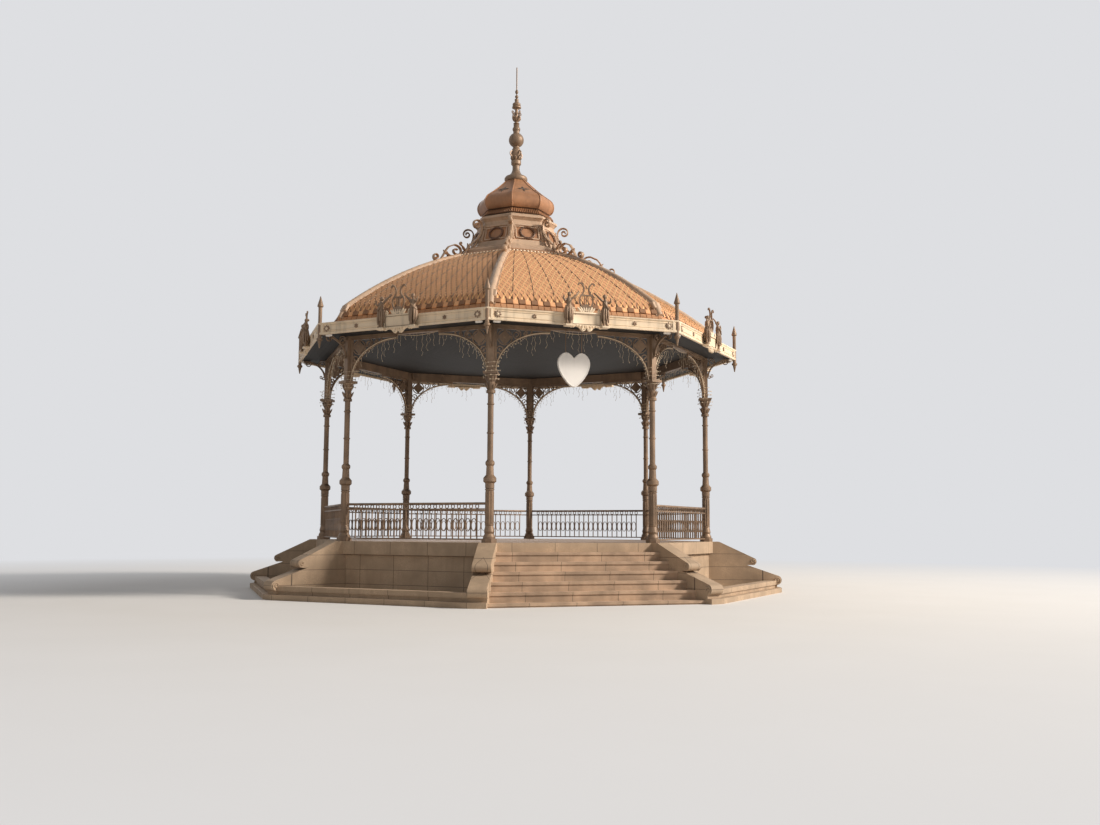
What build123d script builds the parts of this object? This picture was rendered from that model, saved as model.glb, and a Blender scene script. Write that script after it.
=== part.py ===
from build123d import *

import os
from math import acos, atan2, cos, degrees, hypot, radians, sin, sqrt, tan

os.makedirs("parts", exist_ok=True)

# Octagonal bandstand. The origin is the centre of the octagon on the ground, +Z is up
# and the stair faces -Y. Every repeated piece is drawn once along +X, a side piece on
# the side that faces +X and a corner piece on the radial plane through +X.

# Plan, in mm
sides = 8
side_length = 4000.0
half_turn = 180.0 / sides
full_turn = 360.0 / sides
column_apothem = side_length / 2 / tan(radians(half_turn))
column_radius = side_length / 2 / sin(radians(half_turn))
joint_gap = 4.0
tall = 20000.0

# Podium
platform_height = 1320.0
platform_margin = 220.0
coping_thickness = 300.0
coping_width = 450.0
wall_setback = 100.0
wall_thickness = 400.0
wall_bearing = 50.0

# Stair
lowest_step_height = 90.0
going = 250.0
step_count = 6
nosing_overhang = 25.0
nosing_thickness = 60.0

# Scroll buttresses at the corners
buttress_width = 400.0
buttress_head = 90.0
upper_scroll_reach = 1070.0
upper_scroll_height = 805.0
upper_scroll_radius = 95.0
lower_scroll_reach = 1720.0
lower_scroll_height = 320.0
lower_scroll_radius = 120.0
scroll_neck = 150.0

# Kerb round the foot of the podium
kerb_reach = 1500.0
kerb_width = 210.0
kerb_height = 310.0
kerb_cap_thickness = 110.0
kerb_cap_overhang = 35.0
kerb_plinth_height = 120.0

# Columns, each length above the one before it
column_base_width = 330.0
column_plinth_height = 90.0
drum_radius = 90.0
drum_height = 1220.0
shaft_radius = 67.0
collar_radius = 148.0
shaft_height = 2160.0
capital_radius = 105.0
capital_height = 490.0
abacus_width = 330.0
abacus_thickness = 60.0
post_width = 150.0
post_height = 1050.0

# Beams, eave and gutter
beam_depth = 280.0
beam_width = 150.0
soffit_lift = 50.0
soffit_thickness = 30.0
ceiling_drop = 60.0
eave_overhang = 814.0
fascia_depth = 280.0
fascia_thickness = 50.0
fascia_moulding = 25.0
gutter_width = 500.0
gutter_floor_lift = 120.0
gutter_floor_thickness = 30.0
curb_thickness = 70.0

# Roof, with its insets from the foot and its rises above it
roof_foot_rise = 180.0
roof_knee_inset = 150.0
roof_knee_rise = 310.0
roof_middle_inset = 1570.0
roof_middle_rise = 1330.0
roof_top_apothem = 1390.0
roof_top_rise = 2320.0
roof_thickness = 75.0
hip_width = 200.0
hip_height = 85.0

# Lantern and dome
skirt_apothem = 1750.0
skirt_thickness = 60.0
lantern_foot_apothem = 1550.0
lantern_base_height = 300.0
drum_foot_apothem = 1160.0
drum_apothem = 1040.0
lantern_drum_height = 430.0
lantern_wall = 60.0
cornice_apothem = 1080.0
cornice_height = 370.0
frieze_apothem = 920.0
frieze_height = 190.0
dome_foot_apothem = 900.0
dome_apothem = 990.0
dome_rim_height = 210.0
dome_shoulder_inset = 110.0
dome_shoulder_rise = 220.0
dome_height = 970.0
dome_neck_apothem = 290.0

# Spire
collar_height = 150.0
collar_roll = 35.0
flare_height = 260.0
spire_foot_radius = 100.0
vase_height = 600.0
vase_radius = 150.0
handle_radius = 92.0
handle_bar = 26.0
ball_height = 560.0
ball_radius = 212.0
needle_height = 1820.0
needle_radius = 16.0

# Eave spikes
spike_radius = 45.0
spike_collar_radius = 72.0
spike_drop = 320.0
spike_foot = 210.0
spike_shaft = 800.0
spike_point = 260.0

# Arch spandrels of flat bar
arch_lift = 10.0
arch_reach = 1320.0
arch_drop = 100.0
bar_thickness = 45.0
bar_width = 40.0
roundel_radius = 185.0
roundel_inset = 235.0
scroll_bar = 22.0
beam_scroll_insets = (520.0, 715.0, 865.0)
post_scroll_drops = (515.0, 625.0)

# Eave brackets
bracket_drop = 500.0
bracket_scroll_radius = 105.0

# Railings
rail_height = 890.0
rail_thickness = 45.0
rail_bar = 30.0
frieze_band = 150.0
ring_bar = 14.0
rail_foot_gap = 60.0
picket_width = 22.0
picket_spacing = 160.0
picket_oval_height = 300.0

# Scroll consoles at the lantern: reach past the roof's top corner, height and radius.
# The first two heights are above the roof, the last two above the foot of the drum.
console_thickness = 90.0
console_bar = 38.0
console_tie = 60.0
roof_volutes = ((1195.0, 165.0, 115.0), (555.0, 275.0, 215.0))
drum_volutes = ((135.0, 150.0, 165.0), (-165.0, 540.0, 150.0))

# Cartouches over the gutter
plaque_width = 760.0
plaque_height = 330.0
plaque_thickness = 70.0
shell_radius = 120.0
shell_side_radius = 85.0
lyre_height = 700.0
lyre_width = 330.0
lyre_bar = 30.0
string_width = 9.0
supporter_height = 740.0
supporter_radius = 80.0
supporter_spread = 440.0
corbel_height = 45.0

# Heart sign in the entrance arch
heart_width = 800.0
heart_height = 820.0
heart_thickness = 60.0
heart_drop = 500.0
hanger_radius = 8.0

# Worked-out places
drum_top = platform_height + drum_height
shaft_top = drum_top + shaft_height
abacus_top = shaft_top + capital_height
beam_bottom = abacus_top + post_height
platform_edge = column_apothem + platform_margin
corner_reach = platform_edge / cos(radians(half_turn))
wall_top = platform_height - coping_thickness
wall_face = platform_edge - wall_setback
beam_top = beam_bottom + beam_depth
eave_radius = column_radius + eave_overhang
fascia_apothem = eave_radius * cos(radians(half_turn))
fascia_top = beam_bottom + fascia_depth
floor_plane = Plane.XY.offset(platform_height)
roof_foot = (fascia_apothem - gutter_width, fascia_top + roof_foot_rise)
roof_knee = (roof_foot[0] - roof_knee_inset, roof_foot[1] + roof_knee_rise)
roof_middle = (roof_foot[0] - roof_middle_inset, roof_foot[1] + roof_middle_rise)
roof_top = (roof_top_apothem, roof_foot[1] + roof_top_rise)


def trimmed_to_side(piece, joint):
    """Trims a piece of the +X side to its wedge of the octagon, with an open joint."""
    back = joint / 2 / sin(radians(half_turn))
    reach = 2 * corner_reach
    with BuildPart() as wedge:
        with BuildSketch(Plane.XY.offset(-tall / 2)):
            with BuildLine():
                Polyline(
                    (back, 0),
                    (back + reach, reach * tan(radians(half_turn))),
                    (back + reach, -reach * tan(radians(half_turn))),
                    close=True,
                )
            make_face()
        extrude(amount=2 * tall)
    with BuildPart() as trimmed:
        add(piece)
        add(wedge.part, mode=Mode.INTERSECT)
    return trimmed.part


def side_piece(outline, joint=0.0):
    """Runs an outline of the plane XZ along the +X side, mitred at both corners."""
    with BuildPart() as run:
        extrude(outline, amount=corner_reach, both=True)
    return trimmed_to_side(run.part, joint)


def on_all_sides(piece):
    """Repeats a piece of the +X side on the eight sides."""
    with BuildPart() as ring:
        with PolarLocations(0, sides):
            add(piece)
    return ring.part


def on_all_corners(piece):
    """Repeats a piece of the +X radial plane at the eight corners."""
    with BuildPart() as ring:
        with PolarLocations(0, sides, start_angle=half_turn):
            add(piece)
    return ring.part


def on_railed_sides(piece):
    """Repeats a piece of the +X side on the seven sides without the stair."""
    with BuildPart() as ring:
        with PolarLocations(
            0,
            sides - 1,
            start_angle=full_turn - 90.0,
            angular_range=360.0 - 2 * full_turn,
            endpoint=True,
        ):
            add(piece)
    return ring.part


def eight_sided(outline):
    """Turns an outline of the plane XZ into one eight-sided solid."""
    return on_all_sides(side_piece(outline))


def band(inner, outer, low, high):
    """Rectangle of the plane XZ from one apothem to another, between two heights."""
    with BuildSketch(Plane.XZ) as outline:
        with Locations(((inner + outer) / 2, (low + high) / 2)):
            Rectangle(outer - inner, high - low)
    return outline.sketch


def polygon(points):
    """Straight-sided outline of the plane XZ."""
    with BuildSketch(Plane.XZ) as outline:
        with BuildLine():
            Polyline(*points, close=True)
        make_face()
    return outline.sketch


def between_cheeks(apothem):
    """Half the clear width between two neighbouring buttresses at an apothem."""
    cheek = buttress_width / 2 / cos(radians(half_turn))
    return apothem * tan(radians(half_turn)) - cheek


def tangent_angle(point, centre, radius):
    """Angle on a circle where the line from a point on its upper left touches it."""
    dx = point[0] - centre[0]
    dy = point[1] - centre[1]
    return degrees(atan2(dy, dx) - acos(radius / hypot(dx, dy)))


# Podium wall, coping and floor
podium_wall = eight_sided(band(wall_face - wall_thickness, wall_face, 0, wall_top))
podium_wall.label = "podium_wall"
export_step(podium_wall, "parts/podium_wall.step")

coping_inner = platform_edge - coping_width
platform_coping = eight_sided(
    band(coping_inner, platform_edge, wall_top, platform_height)
)
platform_coping.label = "platform_coping"
export_step(platform_coping, "parts/platform_coping.step")

with BuildPart() as platform_floor:
    with BuildSketch(Plane.XY.offset(wall_top)):
        RegularPolygon(coping_inner, sides, major_radius=False, rotation=half_turn)
    extrude(amount=coping_thickness)
platform_floor.part.label = "platform_floor"
export_step(platform_floor.part, "parts/platform_floor.step")

with BuildPart() as podium_envelope:
    with BuildSketch():
        RegularPolygon(wall_face, sides, major_radius=False, rotation=half_turn)
    extrude(amount=wall_top)
    with BuildSketch(Plane.XY.offset(wall_top)):
        RegularPolygon(platform_edge, sides, major_radius=False, rotation=half_turn)
    extrude(amount=coping_thickness)

# Stair of stone steps between the two front buttresses
riser = (platform_height - lowest_step_height) / step_count
for number in range(1, step_count + 1):
    nosing = platform_edge + going * number
    step_top = platform_height - riser * number
    step_back = nosing - going if number > 1 else wall_face - wall_bearing
    with BuildPart() as step:
        with BuildSketch(Plane.YZ):
            with BuildLine():
                Polyline(
                    (-step_back + nosing_overhang, 0),
                    (-nosing + nosing_overhang, 0),
                    (-nosing + nosing_overhang, step_top - nosing_thickness),
                    (-nosing, step_top - nosing_thickness),
                    (-nosing, step_top),
                    (-step_back + nosing_overhang, step_top),
                    close=True,
                )
            make_face()
        extrude(amount=side_length, both=True)
        with BuildSketch():
            with BuildLine():
                Polyline(
                    (-between_cheeks(wall_face), -wall_face),
                    (between_cheeks(wall_face), -wall_face),
                    (between_cheeks(nosing), -nosing),
                    (-between_cheeks(nosing), -nosing),
                    close=True,
                )
            make_face()
        extrude(amount=platform_height, mode=Mode.INTERSECT)
        add(podium_envelope.part, mode=Mode.SUBTRACT)
    step.part.label = f"step_{number}"
    export_step(step.part, f"parts/step_{number}.step")

# Buttresses: two sloping stages, each ending in a scroll
upper_scroll = (corner_reach + upper_scroll_reach - upper_scroll_radius, upper_scroll_height)
lower_scroll = (corner_reach + lower_scroll_reach - lower_scroll_radius, lower_scroll_height)
head = (corner_reach + buttress_head, platform_height)
neck = (upper_scroll[0] - scroll_neck, upper_scroll[1] - upper_scroll_radius)
upper_touch = tangent_angle(head, upper_scroll, upper_scroll_radius)
lower_touch = tangent_angle(neck, lower_scroll, lower_scroll_radius)
buttress_end = lower_scroll[0] + lower_scroll_radius

with BuildPart() as buttress:
    with BuildSketch(Plane.XZ):
        with BuildLine():
            upper_nose = CenterArc(
                upper_scroll, upper_scroll_radius, upper_touch, -upper_touch - 90
            )
            lower_nose = CenterArc(
                lower_scroll, lower_scroll_radius, lower_touch, -lower_touch - 90
            )
            Polyline(
                upper_nose @ 0,
                head,
                (coping_inner, platform_height),
                (coping_inner, 0),
                (buttress_end, 0),
                (buttress_end, kerb_plinth_height),
                (lower_scroll[0], kerb_plinth_height),
                lower_nose @ 1,
            )
            Polyline(upper_nose @ 1, neck, lower_nose @ 0)
        make_face()
    extrude(amount=buttress_width / 2, both=True)
    with Locations(Rotation(0, 0, half_turn)):
        add(podium_envelope.part, mode=Mode.SUBTRACT)
buttresses = on_all_corners(buttress.part)
buttresses.label = "buttresses"
export_step(buttresses, "parts/buttresses.step")

# Kerb: a plinth course with a capped kerb on it, on the seven sides without the stair.
# The plinth's face runs in line with the corners of the buttresses.
kerb_face = platform_edge + kerb_reach
kerb_back = kerb_face - kerb_width
plinth_face = buttress_end * cos(radians(half_turn)) + buttress_width / 2 * sin(
    radians(half_turn)
)


def kerb_run(outline, inner, outer):
    """Runs a kerb outline along the +X side between the buttresses."""
    with BuildPart() as run:
        extrude(outline, amount=corner_reach, both=True)
        with BuildSketch():
            with BuildLine():
                Polyline(
                    (inner, between_cheeks(inner)),
                    (outer, between_cheeks(outer)),
                    (outer, -between_cheeks(outer)),
                    (inner, -between_cheeks(inner)),
                    close=True,
                )
            make_face()
        extrude(amount=platform_height, mode=Mode.INTERSECT)
    return run.part


plinth_outline = band(kerb_back - kerb_cap_overhang, plinth_face, 0, kerb_plinth_height)
kerb_plinths = on_railed_sides(
    kerb_run(plinth_outline, kerb_back - kerb_cap_overhang, plinth_face)
)
kerb_plinths.label = "kerb_plinths"
export_step(kerb_plinths, "parts/kerb_plinths.step")

cap_bottom = kerb_height - kerb_cap_thickness
kerb_outline = polygon(
    [
        (kerb_back, kerb_plinth_height),
        (kerb_face, kerb_plinth_height),
        (kerb_face, cap_bottom),
        (kerb_face + kerb_cap_overhang, cap_bottom),
        (kerb_face + kerb_cap_overhang, kerb_height),
        (kerb_back - kerb_cap_overhang, kerb_height),
        (kerb_back - kerb_cap_overhang, cap_bottom),
        (kerb_back, cap_bottom),
    ]
)
kerbs = on_railed_sides(
    kerb_run(
        kerb_outline, kerb_back - kerb_cap_overhang, kerb_face + kerb_cap_overhang
    )
)
kerbs.label = "kerbs"
export_step(kerbs, "parts/kerbs.step")

# Columns: base and drum, shaft, capital, square post
column_spot = (column_radius, 0)

with BuildPart() as column_base:
    with BuildSketch(floor_plane):
        with Locations(column_spot):
            RegularPolygon(
                column_base_width / 2, sides, major_radius=False, rotation=half_turn
            )
    extrude(amount=column_plinth_height)
    with BuildSketch(Plane.XZ):
        with BuildLine():
            foot_height = platform_height + column_plinth_height
            Polyline(
                (column_radius, foot_height),
                (column_radius + 140, foot_height),
                (column_radius + 140, foot_height + 40),
                (column_radius + 105, foot_height + 110),
                (column_radius + 120, foot_height + 160),
                (column_radius + drum_radius, foot_height + 300),
                (column_radius + drum_radius, drum_top),
                (column_radius, drum_top),
                close=True,
            )
        make_face()
    revolve(axis=Axis((column_radius, 0, 0), (0, 0, 1)))
column_bases = on_all_corners(column_base.part)
column_bases.label = "column_bases"
export_step(column_bases, "parts/column_bases.step")

with BuildPart() as column_shaft:
    with BuildSketch(Plane.XZ):
        with BuildLine():
            Polyline(
                (column_radius, drum_top),
                (column_radius + 105, drum_top),
                (column_radius + 105, drum_top + 110),
                (column_radius + collar_radius, drum_top + 150),
                (column_radius + collar_radius, drum_top + 230),
                (column_radius + 90, drum_top + 300),
                (column_radius + 80, drum_top + 500),
                (column_radius + 105, drum_top + 540),
                (column_radius + 105, drum_top + 590),
                (column_radius + shaft_radius, drum_top + 640),
                (column_radius + shaft_radius, shaft_top),
                (column_radius, shaft_top),
                close=True,
            )
        make_face()
    revolve(axis=Axis((column_radius, 0, 0), (0, 0, 1)))
column_shafts = on_all_corners(column_shaft.part)
column_shafts.label = "column_shafts"
export_step(column_shafts, "parts/column_shafts.step")

abacus_bottom = abacus_top - abacus_thickness
with BuildPart() as capital:
    with BuildSketch(Plane.XZ):
        with BuildLine():
            Polyline(
                (column_radius, shaft_top),
                (column_radius + capital_radius, shaft_top),
                (column_radius + capital_radius, shaft_top + 50),
                (column_radius + shaft_radius + 8, shaft_top + 90),
                (column_radius + shaft_radius + 20, abacus_bottom - 130),
                (column_radius + abacus_width / 2 - 25, abacus_bottom),
                (column_radius, abacus_bottom),
                close=True,
            )
        make_face()
    revolve(axis=Axis((column_radius, 0, 0), (0, 0, 1)))
    with BuildSketch(Plane.XY.offset(abacus_bottom)):
        with Locations(column_spot):
            Rectangle(abacus_width, abacus_width)
    extrude(amount=abacus_thickness)
capitals = on_all_corners(capital.part)
capitals.label = "capitals"
export_step(capitals, "parts/capitals.step")

with BuildPart() as post:
    with BuildSketch(Plane.XY.offset(abacus_top)):
        with Locations(column_spot):
            Rectangle(post_width, post_width)
    extrude(amount=beam_top - abacus_top)
posts = on_all_corners(post.part)
posts.label = "posts"
export_step(posts, "parts/posts.step")

# Ring beams between the posts
beam_outline = band(
    column_apothem - beam_width / 2,
    column_apothem + beam_width / 2,
    beam_bottom,
    beam_top,
)
ring_beams = on_all_sides(side_piece(beam_outline, post_width))
ring_beams.label = "ring_beams"
export_step(ring_beams, "parts/ring_beams.step")

# Ceiling inside the beams
ceiling_height = beam_top - ceiling_drop
beam_inner = column_apothem - beam_width / 2
with BuildPart() as ceiling:
    with BuildSketch(Plane.XY.offset(ceiling_height)):
        RegularPolygon(beam_inner, sides, major_radius=False, rotation=half_turn)
    extrude(amount=soffit_thickness)
ceiling.part.label = "ceiling"
export_step(ceiling.part, "parts/ceiling.step")

# Eave: soffit, gutter with its fascia, curb under the roof's foot
fascia_inner = fascia_apothem - fascia_thickness / 2
soffit_height = beam_bottom + soffit_lift
beam_outer = column_apothem + beam_width / 2
soffit_outline = band(
    beam_outer, fascia_inner, soffit_height, soffit_height + soffit_thickness
)

# Eave spikes
spike_bottom = beam_bottom - spike_drop
foot_collar = spike_bottom + spike_foot
top_collar = foot_collar + spike_shaft
with BuildPart() as spike:
    with BuildSketch(Plane.XZ):
        with BuildLine():
            Polyline(
                (eave_radius, spike_bottom),
                (eave_radius + 12, spike_bottom),
                (eave_radius + spike_radius, foot_collar - 40),
                (eave_radius + spike_collar_radius, foot_collar - 20),
                (eave_radius + spike_collar_radius, foot_collar + 20),
                (eave_radius + spike_radius, foot_collar + 40),
                (eave_radius + spike_radius, top_collar - 20),
                (eave_radius + spike_collar_radius, top_collar),
                (eave_radius + spike_collar_radius, top_collar + 25),
                (eave_radius + 6, top_collar + spike_point),
                (eave_radius, top_collar + spike_point),
                close=True,
            )
        make_face()
    revolve(axis=Axis((eave_radius, 0, 0), (0, 0, 1)))
eave_spikes = on_all_corners(spike.part)
eave_spikes.label = "eave_spikes"
export_step(eave_spikes, "parts/eave_spikes.step")


def clear_of_corners(piece):
    """Cuts the two eave spikes and the two posts out of a piece of the +X side."""
    with BuildPart() as cleared:
        add(piece)
        for turn in (-half_turn, half_turn):
            with Locations(Rotation(0, 0, turn)):
                add(spike.part, mode=Mode.SUBTRACT)
                add(post.part, mode=Mode.SUBTRACT)
    return cleared.part


soffits = on_all_sides(clear_of_corners(side_piece(soffit_outline, joint_gap)))
soffits.label = "soffits"
export_step(soffits, "parts/soffits.step")

curb_outer = roof_foot[0]
curb_inner = curb_outer - curb_thickness
curb_bottom = soffit_height + soffit_thickness
roof_curb = on_all_sides(
    side_piece(
        band(curb_inner, curb_outer, curb_bottom, roof_foot[1] - roof_thickness),
        joint_gap,
    )
)
roof_curb.label = "roof_curb"
export_step(roof_curb, "parts/roof_curb.step")

gutter_bottom = beam_bottom + gutter_floor_lift
plaque_back = fascia_inner + fascia_thickness + fascia_moulding
gutter_outline = polygon(
    [
        (fascia_inner, beam_bottom),
        (fascia_inner + fascia_thickness + 15, beam_bottom),
        (fascia_inner + fascia_thickness + 15, beam_bottom + 40),
        (fascia_inner + fascia_thickness, beam_bottom + 60),
        (fascia_inner + fascia_thickness, fascia_top - 2 * fascia_moulding),
        (plaque_back, fascia_top - fascia_moulding),
        (plaque_back, fascia_top),
        (fascia_inner, fascia_top),
        (fascia_inner, gutter_bottom + gutter_floor_thickness),
        (curb_outer, gutter_bottom + gutter_floor_thickness),
        (curb_outer, gutter_bottom),
        (fascia_inner, gutter_bottom),
    ]
)
gutter_run = clear_of_corners(side_piece(gutter_outline, joint_gap))
gutters = on_all_sides(gutter_run)
gutters.label = "gutters"
export_step(gutters, "parts/gutters.step")


# Roof faces, hip rolls
def roof_outline(lower, upper):
    """Band of the plane XZ that follows the roof's curve, between two lifts above it."""

    def lifted(point, lift):
        return (point[0], point[1] + lift)

    foot, knee, middle, top = roof_foot, roof_knee, roof_middle, roof_top
    with BuildSketch(Plane.XZ) as outline:
        with BuildLine():
            Line(lifted(foot, upper), lifted(knee, upper))
            ThreePointArc(lifted(knee, upper), lifted(middle, upper), lifted(top, upper))
            Line(lifted(top, upper), lifted(top, lower))
            ThreePointArc(lifted(top, lower), lifted(middle, lower), lifted(knee, lower))
            Line(lifted(knee, lower), lifted(foot, lower))
            Line(lifted(foot, lower), lifted(foot, upper))
        make_face()
    return outline.sketch


roof_faces = on_all_sides(side_piece(roof_outline(-roof_thickness, 0), joint_gap))
roof_faces.label = "roof_faces"
export_step(roof_faces, "parts/roof_faces.step")

hip_start = skirt_apothem / cos(radians(half_turn))
with BuildPart() as hip_slabs:
    with PolarLocations(0, sides, start_angle=half_turn):
        with Locations((hip_start + column_radius, 0, roof_top[1])):
            Box(2 * column_radius, hip_width, tall)
with BuildPart() as hip_rolls:
    add(eight_sided(roof_outline(0, hip_height)))
    add(hip_slabs.part, mode=Mode.INTERSECT)
hip_rolls.part.label = "hip_rolls"
export_step(hip_rolls.part, "parts/hip_rolls.step")


def roof_section(lift):
    """Half section between the beams and the roof's curve and flat top, both lifted."""
    foot, knee, middle, top = (
        (apothem, height + lift)
        for apothem, height in (roof_foot, roof_knee, roof_middle, roof_top)
    )
    with BuildSketch() as section:
        with BuildLine():
            Polyline(top, (0, top[1]), (0, beam_top), (foot[0], beam_top), foot, knee)
            ThreePointArc(knee, middle, top)
        make_face()
    return section.sketch_local


def roof_mass(lift):
    """The roof filled in, down to the beams, as one solid for cutting."""
    with BuildSketch(Plane.XZ) as outline:
        add(roof_section(lift))
    return eight_sided(outline.sketch)


# Wrought scrolls: flat bar bent in a plane
def tangent_normal(near, near_radius, far, far_radius, hand):
    """Direction from the centres of two circles to where one straight line touches both."""
    along = atan2(far[1] - near[1], far[0] - near[0])
    spread = hypot(far[0] - near[0], far[1] - near[1])
    return along + hand * acos((near_radius - far_radius) / spread)


def tangent_bar(near, near_radius, far, far_radius, hand, bar):
    """Straight bar that touches two circles from inside their outer edges."""
    normal = tangent_normal(near, near_radius, far, far_radius, hand)
    out = (cos(normal), sin(normal))
    corners = [
        (near[0] + near_radius * out[0], near[1] + near_radius * out[1]),
        (far[0] + far_radius * out[0], far[1] + far_radius * out[1]),
        (far[0] + (far_radius - bar) * out[0], far[1] + (far_radius - bar) * out[1]),
        (near[0] + (near_radius - bar) * out[0], near[1] + (near_radius - bar) * out[1]),
    ]
    with BuildSketch() as strip:
        with BuildLine():
            Polyline(*corners, close=True)
        make_face()
    return strip.sketch_local


def elliptical_bar(centre, x_radius, y_radius, start, bar):
    """Quarter ring of flat bar with elliptical edges."""
    with BuildSketch() as sector:
        with BuildLine():
            out_arc = EllipticalCenterArc(centre, x_radius, y_radius, start, arc_size=90)
            in_arc = EllipticalCenterArc(
                centre, x_radius - bar, y_radius - bar, start, arc_size=90
            )
            Line(out_arc @ 0, in_arc @ 0)
            Line(out_arc @ 1, in_arc @ 1)
        make_face()
    return sector.sketch_local


def arc_bar(centre, radius, start, sweep, bar):
    """Arc of flat bar, with its outer edge on a circle."""
    with BuildSketch() as sector:
        with BuildLine():
            out_arc = CenterArc(centre, radius, start, sweep)
            in_arc = CenterArc(centre, radius - bar, start, sweep)
            Line(out_arc @ 0, in_arc @ 0)
            Line(out_arc @ 1, in_arc @ 1)
        make_face()
    return sector.sketch_local


def scroll(centre, radius, start, hand, bar):
    """Flat bar wound inwards in half turns from an angle on a circle, with a solid eye."""
    shrink = 1.1 * bar
    out = Vector(cos(radians(start)), sin(radians(start)))
    centre = Vector(*centre)
    with BuildSketch() as wound:
        while radius > 1.6 * bar:
            add(arc_bar(centre, radius, start, hand * 180, bar))
            start += hand * 180
            out = -out
            centre += out * shrink
            radius -= shrink
        with Locations(centre + out * (radius - bar / 2)):
            Circle(bar * 0.8)
    return wound.sketch_local


# Lantern: flashing on the roof's top, moulded base, tapering drum, cornice and frieze
skirt_top = roof_top[1] + skirt_thickness
base_top = skirt_top + lantern_base_height
drum_top_height = base_top + lantern_drum_height
cornice_top = drum_top_height + cornice_height
frieze_top = cornice_top + frieze_height
cover_envelope = roof_mass(skirt_thickness)

with BuildSketch(Plane.XZ) as skirt_outline:
    with Locations((skirt_apothem / 2, roof_top[1])):
        Rectangle(skirt_apothem, roof_top_rise)
    add(roof_section(skirt_thickness), mode=Mode.INTERSECT)
    add(roof_section(0), mode=Mode.SUBTRACT)
lantern_skirt = eight_sided(skirt_outline.sketch)
lantern_skirt.label = "lantern_skirt"
export_step(lantern_skirt, "parts/lantern_skirt.step")

with BuildSketch(Plane.XZ) as base_outline:
    with BuildLine():
        Polyline(
            (0, roof_middle[1]),
            (lantern_foot_apothem, roof_middle[1]),
            (lantern_foot_apothem, skirt_top + 20),
            (lantern_foot_apothem - 50, skirt_top + 50),
            (lantern_foot_apothem - 150, skirt_top + 60),
            (lantern_foot_apothem - 150, skirt_top + 105),
            (lantern_foot_apothem - 180, skirt_top + 125),
            (lantern_foot_apothem - 290, skirt_top + 140),
            (drum_foot_apothem + 20, base_top),
            (0, base_top),
            close=True,
        )
    make_face()
    add(roof_section(skirt_thickness), mode=Mode.SUBTRACT)
lantern_base = eight_sided(base_outline.sketch)
lantern_base.label = "lantern_base"
export_step(lantern_base, "parts/lantern_base.step")

lantern_drum = eight_sided(
    polygon(
        [
            (drum_foot_apothem - lantern_wall, base_top),
            (drum_foot_apothem, base_top),
            (drum_apothem, drum_top_height),
            (drum_apothem - lantern_wall, drum_top_height),
        ]
    )
)
lantern_drum.label = "lantern_drum"
export_step(lantern_drum, "parts/lantern_drum.step")

lantern_cornice = eight_sided(
    polygon(
        [
            (0, drum_top_height),
            (drum_apothem + 20, drum_top_height),
            (drum_apothem + 20, drum_top_height + 50),
            (drum_apothem - 40, drum_top_height + 80),
            (drum_apothem - 40, drum_top_height + 160),
            (cornice_apothem - 20, drum_top_height + 230),
            (cornice_apothem, drum_top_height + 240),
            (cornice_apothem, drum_top_height + 295),
            (frieze_apothem + 20, cornice_top),
            (0, cornice_top),
        ]
    )
)
lantern_cornice.label = "lantern_cornice"
export_step(lantern_cornice, "parts/lantern_cornice.step")

lantern_frieze = eight_sided(band(0, frieze_apothem, cornice_top, frieze_top))
lantern_frieze.label = "lantern_frieze"
export_step(lantern_frieze, "parts/lantern_frieze.step")

# Onion dome: a rim that rolls out, a swell, and a draw-in to the neck
dome_top = frieze_top + dome_height
rim_top = frieze_top + dome_rim_height
with BuildSketch(Plane.XZ) as dome_outline:
    with BuildLine():
        roll = TangentArc(
            (dome_apothem, rim_top), (dome_foot_apothem, frieze_top), tangent=(0, -1)
        )
        shoulder = (dome_apothem - dome_shoulder_inset, rim_top + dome_shoulder_rise)
        swell = TangentArc((dome_apothem, rim_top), shoulder, tangent=(0, 1))
        TangentArc(shoulder, (dome_neck_apothem, dome_top), tangent=swell % 1)
        Polyline((dome_neck_apothem, dome_top), (0, dome_top), (0, frieze_top), roll @ 1)
    make_face()
lantern_dome = eight_sided(dome_outline.sketch)
lantern_dome.label = "lantern_dome"
export_step(lantern_dome, "parts/lantern_dome.step")

# Spire: collar, vase, balls and needle, each turned about the axis
collar_top = dome_top + collar_height


def turned(outline):
    """Revolves an outline of the plane XZ about the axis of the bandstand."""
    with BuildPart() as piece:
        revolve(outline, axis=Axis.Z)
    return piece.part


vase_foot = collar_top + flare_height
with BuildSketch(Plane.XZ) as collar_outline:
    with BuildLine():
        rim = ThreePointArc(
            (dome_neck_apothem, dome_top),
            (dome_neck_apothem + collar_roll, (dome_top + collar_top) / 2),
            (dome_neck_apothem, collar_top),
        )
        flare = ThreePointArc(
            (dome_neck_apothem - collar_roll, collar_top),
            (spire_foot_radius * 1.55, collar_top + flare_height / 3),
            (spire_foot_radius, vase_foot),
        )
        Line(rim @ 1, flare @ 0)
        Polyline(flare @ 1, (0, vase_foot), (0, dome_top), rim @ 0)
    make_face()
spire_collar = turned(collar_outline.sketch)
spire_collar.label = "spire_collar"
export_step(spire_collar, "parts/spire_collar.step")

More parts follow.
